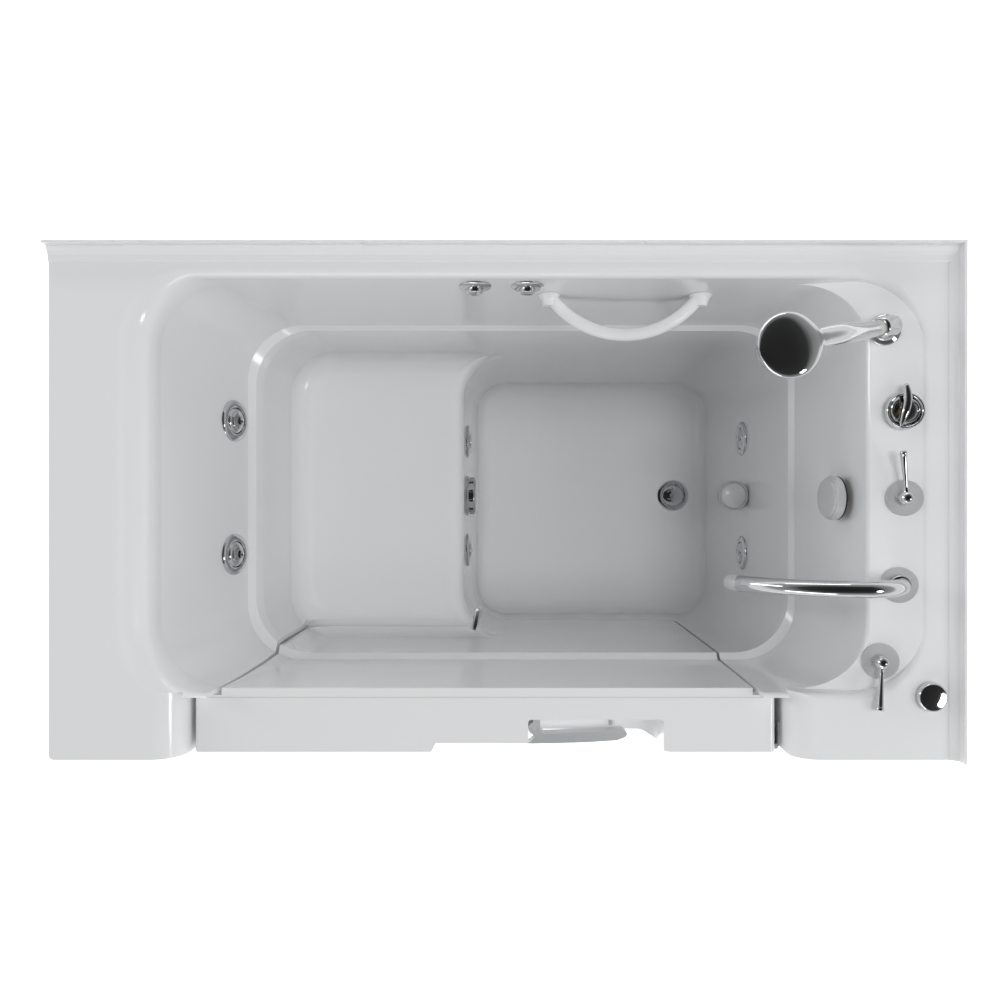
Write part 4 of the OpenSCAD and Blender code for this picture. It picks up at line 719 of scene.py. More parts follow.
def rubber_finish(colour):
    """Extruded rubber with a faint bloom and draw lines."""
    finish = Finish("black rubber")
    bloom, lines = finish.noise(40, 5), finish.noise(260, 2, (1, 1, 8))
    finish.set(Base_Color=finish.mix(finish.band(bloom, 0.4, 0.8), colour, shade(colour, 1.9)),
               Roughness=0.62 + bloom * 0.2)
    finish.relief(lines, 0.12)
    return finish.material


def lens_finish(colour):
    """Frosted lens whose fine grain scatters the light."""
    finish = Finish("frosted lens")
    frost, cloud_and_glow = finish.noise(700, 3), finish.noise(40, 3)
    # Painted light: the emission makes the unlit lens glow faintly, whiter where the cloud noise is high, so
    # that the dome looks brighter.
    finish.set(Base_Color=finish.mix(cloud_and_glow, shade(colour, 0.7), colour), Roughness=0.18 + frost * 0.12,
               Coat_Weight=0.8, Coat_Roughness=0.05, Emission_Color=finish.mix(cloud_and_glow, colour, (1, 1, 1)),
               Emission_Strength=0.04)
    finish.relief(frost, 0.06)
    return finish.material


FINISHES = {}


def make_finishes():
    colours = bpy.context.scene.bathtub_colours
    FINISHES.update({
        "acrylic": acrylic_finish(colours.acrylic, chosen().gloss),
        "chrome": chrome_finish(colours.chrome, 0.05),
        "satin": satin_finish(colours.satin, 0.2),
        "galvanised_steel": zinc_finish(colours.zinc),
        "grey_plastic": moulded_finish("dark moulded plastic", colours.dark_plastic),
        "pale_plastic": moulded_finish("pale moulded plastic", colours.pale_plastic, 0.3, 0.05),
        "motor_paint": paint_finish(colours.motor),
        "pipe_plastic": moulded_finish("pipe plastic", colours.pipe, 0.34, 0.06),
        "air_plastic": moulded_finish("air tube plastic", colours.air_tube, 0.22, 0.04),
        "brass": metal_finish("cast brass", colours.brass, (0.36, 0.24, 0.10)),
        "copper": metal_finish("drawn copper", colours.copper, (0.30, 0.15, 0.08)),
        "wood": plywood_finish(colours.plywood),
        "rubber": rubber_finish(colours.rubber),
        "lens": lens_finish(colours.lens),
    })


# Node trees that repeat a shape and that draw tubes

def tree_with(name, inputs):
    """A tree with named inputs and one geometry output, and the inputs' identifiers."""
    tree = bpy.data.node_groups.new(name, "GeometryNodeTree")
    tree.interface.new_socket(name="Geometry", in_out="INPUT", socket_type="NodeSocketGeometry")
    sockets = {label: tree.interface.new_socket(name=label, in_out="INPUT", socket_type=kind)
               for label, kind in inputs}
    tree.interface.new_socket(name="Geometry", in_out="OUTPUT", socket_type="NodeSocketGeometry")
    start, end = tree.nodes.new("NodeGroupInput"), tree.nodes.new("NodeGroupOutput")
    return tree, start, end, {label: socket.identifier for label, socket in sockets.items()}


def wire(tree, *pairs):
    for source, target in pairs:
        tree.links.new(source, target)


def end_tree(tree, start, end, geometry):
    """Realizes the copies and gives them the finish."""
    realize = tree.nodes.new("GeometryNodeRealizeInstances")
    painted = tree.nodes.new("GeometryNodeSetMaterial")
    wire(tree, (geometry, realize.inputs[0]), (realize.outputs[0], painted.inputs["Geometry"]),
         (start.outputs["Finish"], painted.inputs["Material"]), (painted.outputs[0], end.inputs[0]))


def copies_tree():
    """Copies of a shape on points, each turned by the point's own attribute."""
    tree, start, end, names = tree_with("turned copies", [
        ("Shape", "NodeSocketObject"), ("Size", "NodeSocketFloat"), ("Finish", "NodeSocketMaterial")])
    shape = tree.nodes.new("GeometryNodeObjectInfo")
    turn = tree.nodes.new("GeometryNodeInputNamedAttribute")
    turn.data_type = "FLOAT_VECTOR"
    turn.inputs["Name"].default_value = "turn"
    places = tree.nodes.new("GeometryNodeInstanceOnPoints")
    wire(tree, (start.outputs["Geometry"], places.inputs["Points"]),
         (start.outputs["Shape"], shape.inputs["Object"]),
         (shape.outputs["Geometry"], places.inputs["Instance"]),
         (turn.outputs["Attribute"], places.inputs["Rotation"]),
         (start.outputs["Size"], places.inputs["Scale"]))
    end_tree(tree, start, end, places.outputs["Instances"])
    return tree, names


def tube_tree():
    """A round tube along every edge chain, closed at its ends."""
    tree, start, end, names = tree_with("round tubes", [
        ("Radius", "NodeSocketFloat"), ("Sides", "NodeSocketInt"), ("Finish", "NodeSocketMaterial")])
    line = tree.nodes.new("GeometryNodeMeshToCurve")
    ring = tree.nodes.new("GeometryNodeCurvePrimitiveCircle")
    skin = tree.nodes.new("GeometryNodeCurveToMesh")
    skin.inputs["Fill Caps"].default_value = True
    wire(tree, (start.outputs["Geometry"], line.inputs["Mesh"]),
         (start.outputs["Radius"], ring.inputs["Radius"]),
         (start.outputs["Sides"], ring.inputs["Resolution"]), (line.outputs[0], skin.inputs["Curve"]),
         (ring.outputs[0], skin.inputs["Profile Curve"]))
    end_tree(tree, start, end, skin.outputs[0])
    return tree, names


def run_tree(obj, tree, names, **values):
    step = obj.modifiers.new("tree", "NODES")
    step.node_group = tree
    for label, value in values.items():
        step[names[label]] = value
    settle(obj)
    return obj


TREES = {}


def make_trees():
    TREES.update(copies=copies_tree(), tubes=tube_tree())


def copies(name, shape, places, finish, size=1.0):
    """Copies of a shape, drawn about its own origin, at several places."""
    points = [place.translation for place in places]
    obj = new_object(name, points, [])
    turn = obj.data.attributes.new("turn", "FLOAT_VECTOR", "POINT")
    turn.data.foreach_set("vector", [a for place in places for a in place.to_euler()])
    smooth(shape)
    run_tree(obj, *TREES["copies"], Shape=shape, Size=size, Finish=FINISHES[finish])
    bpy.data.objects.remove(shape, do_unlink=True)
    face_outwards(obj)
    return obj


def tubes(name, lines, r, finish, bend=None, sides=28):
    """Round tubes along lines whose corners are bent."""
    points, edges = [], []
    for line in lines:
        run = rounded_line(line, bend or r * 1.6)
        edges += [(len(points) + i, len(points) + i + 1) for i in range(len(run) - 1)]
        points += run
    obj = new_object(name, points, [], edges=edges)
    run_tree(obj, *TREES["tubes"], Radius=r * MM, Sides=sides, Finish=FINISHES[finish])
    face_outwards(obj)
    return obj


# Shell

def door_outline(grow, hinge_grow, top, r):
    top_r = 0 if top > DECK else r / 3
    step = DOOR_STEP_X + (0 if grow > 0 else STEP_EASE)
    return rounded([(step - grow, DOOR_FOOT_Z - grow), (DOOR_X1 + hinge_grow, DOOR_FOOT_Z - grow),
                    (DOOR_X1 + hinge_grow, top), (DOOR_X0 - grow, top),
                    (DOOR_X0 - grow, DOOR_SEAT_Z - grow), (step - grow, DOOR_SEAT_Z - grow)],
                   [r, r - 8 if hinge_grow > 0 else r, top_r, top_r, r, r], 12)


def plug_outline(grow, top):
    ledge_z = DECK - LEDGE_FOOT
    lean = (top - ledge_z) / (DOOR_TOP - ledge_z)
    latch_x, hinge_x = DOOR_X0 + 68 - 32 * lean, DOOR_X1 - 26.5 - 3 * lean
    step = DOOR_STEP_X + 24 + (STEP_EASE if grow < 0 else 0)
    return rounded([(step - grow, SILL_H - grow), (DOOR_X1 - 9.5 + grow, SILL_H - grow),
                    (DOOR_X1 - 26.5 + grow, ledge_z), (hinge_x + grow, top), (latch_x - grow, top),
                    (DOOR_X0 + 68 - grow, ledge_z), (DOOR_X0 + 68 - grow, SEAT_H - grow),
                    (step - grow, SEAT_H - grow)],
                   [DOOR_R, DOOR_R, 0, 0, 0, 0, DOOR_R, DOOR_R / 2], 12)


def platform_space(name, grow=0.0):
    """The space over the tilted tap platform, with the rim's own rolled lip around it."""
    rows = []
    for d, _, x1, y0, y1, _ in [*(lip_section(a) for a in spread(0, 90, 9)),
                                *(wall_section(d) for d in (20, 40, 60, 80))]:
        rolled = min(LIP_R, RIM_X1 - x1)
        rows.append((d, 300.0, PLATFORM_X + 4 - rolled, y0, y1, PLATFORM_CORNER + 4 - rolled))
    if not grow:
        rows = [(-1, *rows[0][1:]), *rows]
    below = prism("below", [(-420, -500), (80, -500), (80, 500), (-420, 500)], -300, -grow,
                  moved(PLATFORM_X, 0, DECK - PLATFORM_STEP) @ turned("Y", -PLATFORM_TILT))
    return carve(name, [loft(name, rows, grow)], [below])


def basin_space(steps):
    rows = bowl_sections(steps)
    return [loft("bowl", [(-1, *rows[0][1:]), *rows]), loft("well", well_sections(steps))]


def deck_roll(x, side):
    """Waste cut from the deck's end so that it rolls down to the door."""
    arc = [(END_ROLL * cos(a), END_ROLL * sin(a)) for a in spread(0, 90, 18)]
    outline = [*arc, (0, END_ROLL + 5), (END_ROLL + 1, END_ROLL + 5), (END_ROLL + 1, 0)]
    outline = [(x + side * (END_ROLL - px), DECK - END_ROLL + pz) for px, pz in outline]
    return upright("deck roll", outline, FRONT - 5, RIM_Y0 + 13)


def shell_holes():
    places = [(on_wall(*jet), JET_FACE_R + 3.3, -30, 10) for jet in JETS.values()]
    places += [(on_riser(), 27.5, -30, 10), (moved(*DRAIN_AT, 95), 30, 0, 30),
               (on_overflow(), 15, -30, 10), (moved(*AIR_AT, DECK - 20), 14.3, 0, 30),
               (on_light() @ moved(-8, 0, 0), 10, -30, 10)]
    places += [(place, 14, -30, 10) for place in on_buttons()]
    places += [(place, 4, -30, 10) for place in on_bar_ends()]
    places += [(on_platform(p), 14.3, -15, 5) for p in (HOT_AT, COLD_AT, SPOUT_AT, DIAL_AT, HOLDER_AT)]
    return [rod("hole", r, low, high, place, 48) for place, r, low, high in places]


def build_shell():
    t, left, right, steps = SHELL, DOOR_X0 - DOOR_GAP, JAMB_X, chosen().roll_steps
    rows, well = bowl_sections(steps), well_sections(steps)
    under = platform_space("under platform", t)
    edge = rounded([(-HALF_W, FRONT), (HALF_W, FRONT), (HALF_W, HALF_D), (-HALF_W, HALF_D)], 7, 6)
    inner = rounded([(-HALF_W + t, FRONT + t), (HALF_W - t, FRONT + t), (HALF_W - t, HALF_D - t),
                     (-HALF_W + t, HALF_D - t)], 2, 4)
    rim = carve("rim", [prism("tray", edge, DECK - 40, DECK)],
                [prism("hollow", inner, DECK - 41, DECK - t),
                 block("front", (left, FRONT - 5, DECK - 60), (right, FRONT + t + 1, DECK - t))])
    soften(rim, 2.5, 60, 3)
    solids = [rim, under, loft("bowl out", rows, t), loft("well out", well, t),
              block("left pillar", (-HALF_W, FRONT, PILLAR_LEFT_Z), (left, FRONT + t, DECK - 20)),
              block("right pillar", (right, FRONT, PILLAR_RIGHT_Z), (HALF_W, FRONT + t, DECK - 20)),
              block("return", (HALF_W - t, FRONT, PILLAR_RIGHT_Z), (HALF_W, FRONT + 60, DECK - 20)),
              upright("jamb", door_outline(DOOR_GAP + t, right - DOOR_X1 + t, DECK - 0.5, DOOR_R + 8),
                      FRONT, FRAME_Y + t),
              upright("collar", plug_outline(12, DECK - 1), FRAME_Y, PLUG_IN_Y),
              block("step", (-398, FRAME_Y, 504), (-54, FRAME_Y + 62, 510)),
              block("left roll", (left - END_ROLL, FRONT, DECK - END_ROLL), (left, RIM_Y0 + FRONT_LIP, DECK)),
              block("right roll", (right, FRONT, DECK - END_ROLL),
                    (right + END_ROLL, RIM_Y0 + FRONT_LIP, DECK))]
    corner = [(right + 8 - 8 * sin(a), FRONT + 8 - 8 * cos(a)) for a in spread(0, 90, 8)]
    cuts = [*basin_space(steps), platform_space("platform"),
            upright("doorway", door_outline(DOOR_GAP, right - DOOR_X1, DECK + 40, DOOR_R + 4),
                    FRONT - 5, FRAME_Y),
            upright("plug way", plug_outline(0, DECK + 40), FRAME_Y - 2, PLUG_IN_Y + 14),
            deck_roll(left, -1), deck_roll(right, 1),
            prism("pillar edge", [(right - 1, FRONT - 1), (right + 8, FRONT - 1), *corner,
                                  (right - 1, FRONT + 8)], 220, DECK + 60)]
    for x in (left - END_ROLL, right + END_ROLL):
        cuts.append(rod("roll hollow", END_ROLL - t, 0, FRAME_Y - FRONT - t,
                        moved(x, FRONT + t, DECK - END_ROLL) @ turned("X", -90)))
    shell = carve("tub_skin", solids, cuts + shell_holes())
    return finish_piece(shell, "tub", "acrylic", "tub_shell", angle=28, weighted=True)


def build_flange():
    back = [(0, 0), (26, 0), (26, 22), (22, 22), (22, 9), (14, 6), (10, 3), (3, 2.5), (0, 1)]
    end = [(0, 0), (16, 0), (16, 22), (12, 22), (12, 7), (7, 3), (0, 1)]
    rail = prism("back rail", rounded(back, [0.5, 0, 1.2, 1.2, 4, 4, 4, 2, 0.4], 5), -HALF_W, HALF_W,
                 moved(0, HALF_D - 26, DECK) @ turned("Z", 90) @ turned("X", 90))
    side = prism("end rail", rounded(end, [0.5, 0, 1.2, 1.2, 3, 3, 0.4], 5), 0, 2 * HALF_D,
                 moved(HALF_W - 16, HALF_D, DECK) @ turned("X", 90))
    holes = [rod("wall hole", 2.6, 0, 8, moved(x, HALF_D + 1, DECK + 16) @ turned("X", 90), 32)
             for x in (-600, -200, 200, 600)]
    flange = carve("wall_flange", [rail, side], holes)
    return finish_piece(flange, "tub", "acrylic", "tile_flange", angle=28, weighted=True)


# Door

def recess_plan(g):
    swept = [(RECESS_X1 + g - RECESS_SWEEP * t, FRONT + RECESS_D * (1 - cos(180 * t)) / 2 + g * (1 + t) / 2)
             for t in spread(0, 1, 16)]
    return [(RECESS_X0 - g, FRONT - 20), (RECESS_X1 + g, FRONT - 20), *swept,
            (RECESS_X0 + RECESS_D / 2 - g, FRONT + RECESS_D + g), (RECESS_X0 - g, FRONT + g)]


def pocket_space(g):
    """The moulded pocket behind the lever, whose far end scoops up from its floor."""
    face = rounded([(POCKET_X0 - g, POCKET_Z - g), (POCKET_X1 + g, POCKET_Z - g), (POCKET_X1 + g, DECK + 90),
                    (POCKET_X0 - g, DECK + 90)], [5 + g, 26 + g, 0, 0], 10)
    pocket = upright("pocket", face, FRONT - 40, FRONT + POCKET_D + g)
    return soften(pocket, 6 + g, 40, 5)


def door_volume(inward):
    body = upright("door", door_outline(-inward, -inward, DOOR_TOP - inward, DOOR_R),
                   FRONT + inward, PLATE_Y + (1 if inward else 0))
    cuts = [prism("recess", recess_plan(inward), RECESS_Z - inward, DECK + 90),
            pocket_space(inward)]
    return carve("door volume", [body], cuts)


def build_door():
    outer = soften(door_volume(0), chosen().edge, 40, 3)
    holes = [rod("bolt hole", BOLT_R, -2, 10, moved(DOOR_X0, BOLT_Y, z) @ turned("Y", 90), 40)
             for z in (560, POCKET_Z - 12)]
    holes.append(rod("spindle hole", SPINDLE_R, POCKET_Z - 10, POCKET_Z + 10, moved(LEVER.x, LEVER.y, 0), 40))
    outer = carve("door_front", [outer], [door_volume(SKIN_T), *holes])
    finish_piece(outer, "door", "acrylic", "door_outer_panel", angle=28, weighted=True)
    plate = soften(upright("plate", door_outline(0, 0, DOOR_TOP, DOOR_R), PLATE_Y, DOOR_BACK), 1.2, 40, 2)
    plug = carve("plug", [upright("plug", plug_outline(-PLUG_GAP, DOOR_TOP), DOOR_BACK - 1, PLUG_IN_Y)],
                 basin_space(chosen().roll_steps))
    soften(plug, 2.4, 40, 3)
    inner = carve("door_back", [plate, plug])
    finish_piece(inner, "door", "acrylic", "door_inner_panel", angle=28, weighted=True)


def build_door_lever():
    x, y, z = LEVER
    plan = rounded([(-7, -1), (-7.2, -5), (1.2, -17.3), (-10.5, -26), (30, -25.5), (80, -24), (128, -20.8),
                    (142, -14.8), (143, -10), (139, -6), (130, -4.6), (75, -8), (14, -10), (7, -1)],
                   [2, 3, 1.5, 0.8, 60, 60, 14, 5, 3, 5, 20, 60, 6, 2], 8)
    blade = soften(prism("blade", plan, -11, 11, moved(x, y, z)), 4.4, 24, 5)
    hub = lathe("hub", [(0, -13), (6.8, -13), (8, -11.8), (8, -2), (7.4, -1.2), (7.4, 1.2), (8, 2), (8, 11.8),
                        (6.8, 13), (0, 13)], moved(x, y, z))
    low = POCKET_Z - 24
    spindle = lathe("spindle", [(0, low), (5, low), (5, 940), (4.2, 941), (0, 941)], moved(x, y, 0))
    crank = prism("crank", rounded([(-9, -9), (9, -9), (5, 22), (-5, 22)], [8, 8, 4.5, 4.5], 8), low, low + 8,
                  moved(x, y, 0))
    soften(crank, 0.8, 40, 2)
    pin = lathe("pin", [(0, low + 4), (4, low + 4), (4, low + 16.4), (3.4, low + 17), (0, low + 17)],
                moved(x, y + 18, 0))
    lever = gather("door_handle", [blade, hub, spindle, crank, pin])
    finish_piece(lever, "door_lever", "satin", "door_lever", angle=35)


def build_panels():
    seat_z, sill_z, step_x = PILLAR_LEFT_Z - PANEL_GAP, PILLAR_RIGHT_Z - PANEL_GAP, -97.5
    front = upright("front", rounded([(-HALF_W + 7, 30), (HALF_W, 30), (HALF_W, sill_z), (step_x, sill_z),
                                      (step_x, seat_z), (-HALF_W + 7, seat_z)], [3, 3, 3, 20, 30, 3], 10),
                    FRONT, FRONT + 6)
    end = upright("end", rounded([(FRONT, 30), (HALF_D, 30), (HALF_D, 969.7), (FRONT + 6, 969.7),
                                  (FRONT + 6, seat_z + 1), (FRONT, seat_z + 1)], [3, 3, 3, 2, 2, 3], 8), 0, 6)
    end.data.transform((moved(-HALF_W + 6, 0, 0) @ turned("Z", 90)).to_3x3().to_4x4())
    end.data.transform(Matrix.Translation(((-HALF_W + 6) * MM, 0, 0)))
    for panel, name, node in ((front, "front_panel", "front_access_panel"),
                              (end, "end_panel", "end_access_panel")):
        soften(panel, 1.2, 40, 3)
        seats = [rod("screw seat", 6.2, -2, 3.1, place, 32) for place in SCREWS[node]]
        seats += [rod("screw way", 2.6, 0, 8, place, 24) for place in SCREWS[node]]
        finish_piece(carve(name, [panel], seats), "tub", "acrylic", node, angle=28, weighted=True)


SCREWS = {
    "front_access_panel": [moved(x, FRONT, z) @ turned("X", -90) for x, z in (
        (-600, 89), (-360, 89), (-120.5, 89), (160, 89), (399.6, 89), (600, 89), (-600, 444.5),
        (-144, 444.5))],
    "end_access_panel": [moved(-HALF_W, y, z) @ turned("Y", 90) for y, z in (
        (-300, 89), (0, 89), (300, 89), (-340, 890), (350, 890))],
}


def build_screws():
    head = lathe("head", [(0, 2.9), (5.9, 2.9), (6, 0.9), (5.4, 0.3), (4, 0.05), (0, 0.0)], None, 32)
    slot = block("slot", (-3.2, -0.6, -1), (3.2, 0.6, 1.4))
    shank = rod("shank", 2.5, 2.5, 6, None, 16)
    screw = carve("screw", [head, shank], [slot])
    places = [place for group in SCREWS.values() for place in group]
    screws = copies("panel_screw_heads", screw, places, "chrome")
    finish_piece(screws, "tub", "chrome", "panel_screws", angle=35)


# Jets, suction, light and drain

def nut_profile(r, nut_r, height):
    """The part of a turned fitting's outline where a nut clamps it behind the shell."""
    face = -SHELL - SEAT_GAP
    return [(r, face - height), (nut_r, face - height), (nut_r, face), (r, face)]


def build_jets():
    ring = lathe("ring", [(22.3, 0.3), (34.9, 0.3), (35, 0.9), (34.7, 2.0), (33.6, 3.4), (31.6, 4.6),
                          (29, 5.3), (26.4, 5.6), (24.2, 5.5), (22.9, 4.9), (22.3, 4.0)], closed=True)
    cup = lathe("cup", [(0, -61), (23, -61), (25, -59), (25, -15), (35, -14.3), (35, -6.3), (25, -6.3),
                        (25, 0), (22.3, 0), (22.3, -24), (0, -24)], None, 48)
    places = [on_wall(*jet) for jet in JETS.values()]
    finish_piece(copies("jet_trim_rings", ring, places, "chrome"), "tub", "chrome", "jet_rings")
    finish_piece(copies("jet_cups", cup, places, "grey_plastic"), "tub", "grey_plastic", "jet_bodies")
    for node, jet in JETS.items():
        face = lathe("face", [(0, -8), (22, -8), (22, 2.6), (21.4, 3.6), (18.2, 6.2), (17.2, 6.8),
                              (14.6, 7.0), (14.2, 7.6), (13.8, 8.6), (12.8, 9), (0, 9)])
        mouth = lathe("mouth", [(0, -9), (5.5, -9), (5.5, 6.8), (6.2, 8.2), (7.6, 9.2), (0, 9.2)],
                      moved(5.5, 0, 0), 48)
        swirl = [sweep("groove", [(9 * cos(a), 9 * sin(a), 9.4),
                                  (12.6 * cos(a + 14), 12.6 * sin(a + 14), 9.2)], 0.9, 10)
                 for a in (110, 145, 180, 215, 250)]
        face = carve(node.replace("_face", "_nozzle"), [face], [mouth, *swirl])
        face.data.transform(scaled(on_wall(*jet)))
        finish_piece(face, node.replace("_face", ""), "chrome", node, angle=35)


def scaled(place):
    """A place in millimetres as a transform of a mesh that is already in metres."""
    turn = place.to_3x3().to_4x4()
    return Matrix.Translation(place.translation * MM) @ turn


def build_suction():
    place = on_riser()
    drum = lathe("drum", [(35, 0.3), (42.4, 0.3), (43, 1), (43, 3), (42, 4.2), (39.6, 4.6), (39, 5.4),
                          (39, 15.4), (38.2, 17.2), (35.6, 19.4), (33.6, 20), (0, 20.2), (0, 17), (35, 17)])
    slots = []
    for i in range(12):
        slot = block("slot", (31, -2.5, 7), (46, 2.5, 15))
        slot.data.transform(turned("Z", 15 + 30 * i))
        slots.append(slot)
    dots = [rod("dot", 2, 16, 24, turned("Z", 45 * i) @ moved(17, 0, 0), 20) for i in range(8)]
    cover = carve("suction_grille", [drum], slots + dots)
    cover.data.transform(scaled(place))
    finish_piece(cover, "tub", "chrome", "suction_cover", angle=35)
    socket = lathe("suction_socket", [(0, -61), (27, -61), *nut_profile(27, 38, 10), (27, 0), (22, 0),
                                      (22, -50), (0, -50)], place, 64)
    finish_piece(socket, "tub", "grey_plastic", "suction_body", angle=35)


def build_light():
    place = on_lens()
    can = lathe("can", [(0, -34), (19.5, -34), (26, -28), (29, -24), (29.5, -22), (29.5, -2.2), (29, -0.8),
                        (28, 0), (27, 0), (26.2, -0.6), (26, -1.6), (26, -8), (0, -8)], place)
    wall = block("wall", (-80, -80, -80), (80, 80, 0.3))
    wall.data.transform(scaled(on_light()))
    neck = lathe("neck", [(0, -26), (9.7, -26), *nut_profile(9.7, 16, 6), (9.7, 5), (0, 5)],
                 on_light() @ moved(-8, 0, 0), 64)
    can = carve("light_can", [carve("can", [can], [wall]), neck])
    finish_piece(can, "tub", "satin", "light_housing", angle=35)
    lens = lathe("light_dome", [(0, -7.7), (25.6, -7.7), (25.6, -0.6)] + [
        (25.6 * cos(a), -0.7 + 7.9 * sin(a)) for a in spread(4, 86, 12)] + [(0, 7.2)], place)
    finish_piece(lens, "tub", "lens", "light_lens", angle=40)


def build_drain():
    at = moved(*DRAIN_AT, 115)
    ring = lathe("drain_flange", [(27, -16), (29.5, -16), (29.5, 0), (37.6, 0), (38, 0.6), (37.6, 1.6),
                                  (35.5, 2.5), (31.5, 3), (28.6, 2.8), (27.4, 2), (27, 0.6)], at,
                                  closed=True)
    finish_piece(ring, "tub", "chrome", "drain_ring", angle=35)
    plug = lathe("drain_stopper", [(0, -26), (3.6, -26), (4, -25.4), (4, -4), (26, -4), (26.5, -3.4),
                                   (26.5, 1.4), (26, 2.3), (24, 3.3), (20, 4.4), (14, 5.3), (7, 5.8),
                                   (0, 6)], at)
    finish_piece(plug, "drain_plug", "chrome", "drain_plug", angle=35)
    knob_at = on_overflow()
    drum = lathe("overflow_drum", [(0, 12), (31.6, 12), (33.4, 12.6), (34, 13.6), (34, 20.4), (33.4, 21.4),
                                   (32.6, 21.8), (32.6, 23), (31.8, 24.2), (30.4, 25), (29.4, 25.2),
                                   (29.4, 27.2), (28.6, 28.4), (27, 29), (0, 29.6)], knob_at)
    threads = [(12 if i % 2 else 11.2, z) for i, z in enumerate(spread(2.6, 10.4, 14))]
    neck = lathe("overflow_neck", [(0, -18), (5, -18), (5, 2.4), *threads, (0, 10.4)], knob_at)
    # A thin dark rubber ring just behind the drum's back edge: painted shade, a dark sheet that stands for
    # the shadow in the gap between the drum and the wall.
    gap_shade_ring = lathe("overflow_washer", [(0, 10.2), (33.2, 10.2), (33.8, 10.8), (33.2, 11.9), (0, 11.9)],
                   knob_at)
    finish_piece(drum, "overflow_knob", "satin", "overflow_knob", angle=30)
    dress(neck, "overflow_knob", "brass", 40)
    dress(gap_shade_ring, "overflow_knob", "rubber", 40)
    body = lathe("overflow_housing", [(0, -40.3), (28, -40.3), (30, -38.3), (30, -6.3), (14.6, -6.3),
                                      (14.6, 1.6), (14.2, 2), (5.2, 2), (5.2, -20), (0, -20)], knob_at, 64)
    finish_piece(body, "tub", "grey_plastic", "overflow_body", angle=35)


def build_buttons():
    cap = [(0, -12), (11, -12), (11, 10.4), (10.6, 11.2), (9.6, 11.9), (8.6, 12), (7, 11.4), (4, 10.8),
           (0, 10.6)]
    for place, use in zip(on_buttons(), ("pump", "heater")):
        node = use + "_button"
        finish_piece(lathe(use + "_push", cap, place), node, "chrome", node, angle=35)
    ring = lathe("ring", [(11.3, -30), (13.6, -30), (13.6, 0.3), (23.6, 0.3), (24, 0.8), (23.4, 2),
                          (21.6, 3.4), (18.6, 4.6), (15.4, 5.2), (12.6, 5.3), (11.6, 4.9), (11.3, 4.2)],
                          closed=True)
    rings = copies("button_trim", ring, on_buttons(), "chrome")
    finish_piece(rings, "tub", "chrome", "button_rings", angle=35)


def build_grab_bar():
    reach, wall = 61.0, back_y(BAR_DEPTH)
    r = (BAR_HALF ** 2 + reach ** 2) / (2 * reach)
    angle = math.degrees(math.asin(BAR_HALF / r))
    centre = Vector((BAR_X, wall + r - reach, DECK - BAR_DEPTH))
    arc = [centre + Vector((r * sin(a), -r * cos(a), 0)) for a in spread(-angle + 1, angle - 1, 48)]
    bar = sweep("bar", arc, 10, 40, up=(0, 0, 1))
    bell = [(0, -22), (3.6, -22), (3.6, 0.3), (17.6, 0.3), (18, 1), (17.4, 2.2), (14.6, 5.5), (12.4, 9.5),
            (11, 14), (9.8, 18), (0, 19)]
    bells = [lathe("bell", bell, place) for place in on_bar_ends()]
    wall_cut = block("wall", (-100, wall - 2.2, 850), (400, wall + 60, 990))
    bar = carve("grab_rail", [carve("bar", [bar], [wall_cut]), *bells])
    finish_piece(bar, "tub", "acrylic", "grab_bar", angle=50)


# Taps

def build_cover_plates():
    plate = [(7, 0.3), (25.6, 0.3), (26, 0.8), (26, 3.2), (25.4, 4), (24.2, 4.3), (8, 4.3), (7, 4)]
    for name, at, bore in (("hot_plate", HOT_AT, 7), ("cold_plate", COLD_AT, 7),
                           ("spout_plate", SPOUT_AT, 12.5)):
        profile = [(bore if r < 8 else r, z) for r, z in plate if r != 8]
        obj = lathe(name, profile, on_platform(at), closed=True)
        finish_piece(obj, "tub", "satin", "cover_plates", angle=35)


def build_levers():
    for name, at, turn, r1, r2, node, body in (
            ("hot_handle", HOT_AT, 97, 2.9, 4.8, "hot_lever", "hot_tap"),
            ("cold_handle", COLD_AT, -96, 2.6, 5.6, "cold_lever", "cold_tap")):
        base, ball = 4.6, 14.05
        profile = [(6.1, base), (8.2, base), (8.6, base + 0.6), (8.4, base + 2.4)]
        profile += [(10.5 * cos(a), ball + 10.5 * sin(a)) for a in spread(-36, 84, 20)] + [(0, ball + 10.5)]
        hub = lathe("hub", [(0, 10.3), (6.1, 10.3), *profile], on_platform(at))
        tip = on_platform(at) @ moved(0, 0, ball) @ turned("Z", turn) @ turned("Y", 76)
        arm = [(0, 4), (r1 + 3.2, 7), (r1 + 1.3, 9.6), (r1 + 0.4, 12.5), (r1 + 0.15, 16)]
        arm += [(r1 + (r2 - r1) * t ** 1.15, 16 + 48 * t) for t in spread(0, 1, 14)]
        arm += [(r2 + 0.35, 64.6), (r2 + 0.35, 67.4), (r2 - 0.1, 68.4), (r2 - 1, 69), (0, 69)]
        handle = gather(name, [hub, lathe("arm", arm, tip)])
        finish_piece(handle, body, "chrome", node, angle=38)


def spout_line(start, count):
    """The spout's centre line on the platform: a tight rise and then a wide fall."""
    rise_r, rise_a, fall_r, fall_a = 72.0, 80.0, 175.0, 68.0
    points = [Vector((0, 0, start))]
    points += [Vector((-rise_r + rise_r * cos(a), 0, 9 + rise_r * sin(a))) for a in spread(0, rise_a, count)]
    place = moved(-rise_r, 0, 9) @ turned("Y", -rise_a) @ moved(rise_r - fall_r, 0, 0)
    points += [place @ Vector((fall_r * cos(a), 0, fall_r * sin(a))) for a in spread(0, fall_a, count)[1:]]
    return points


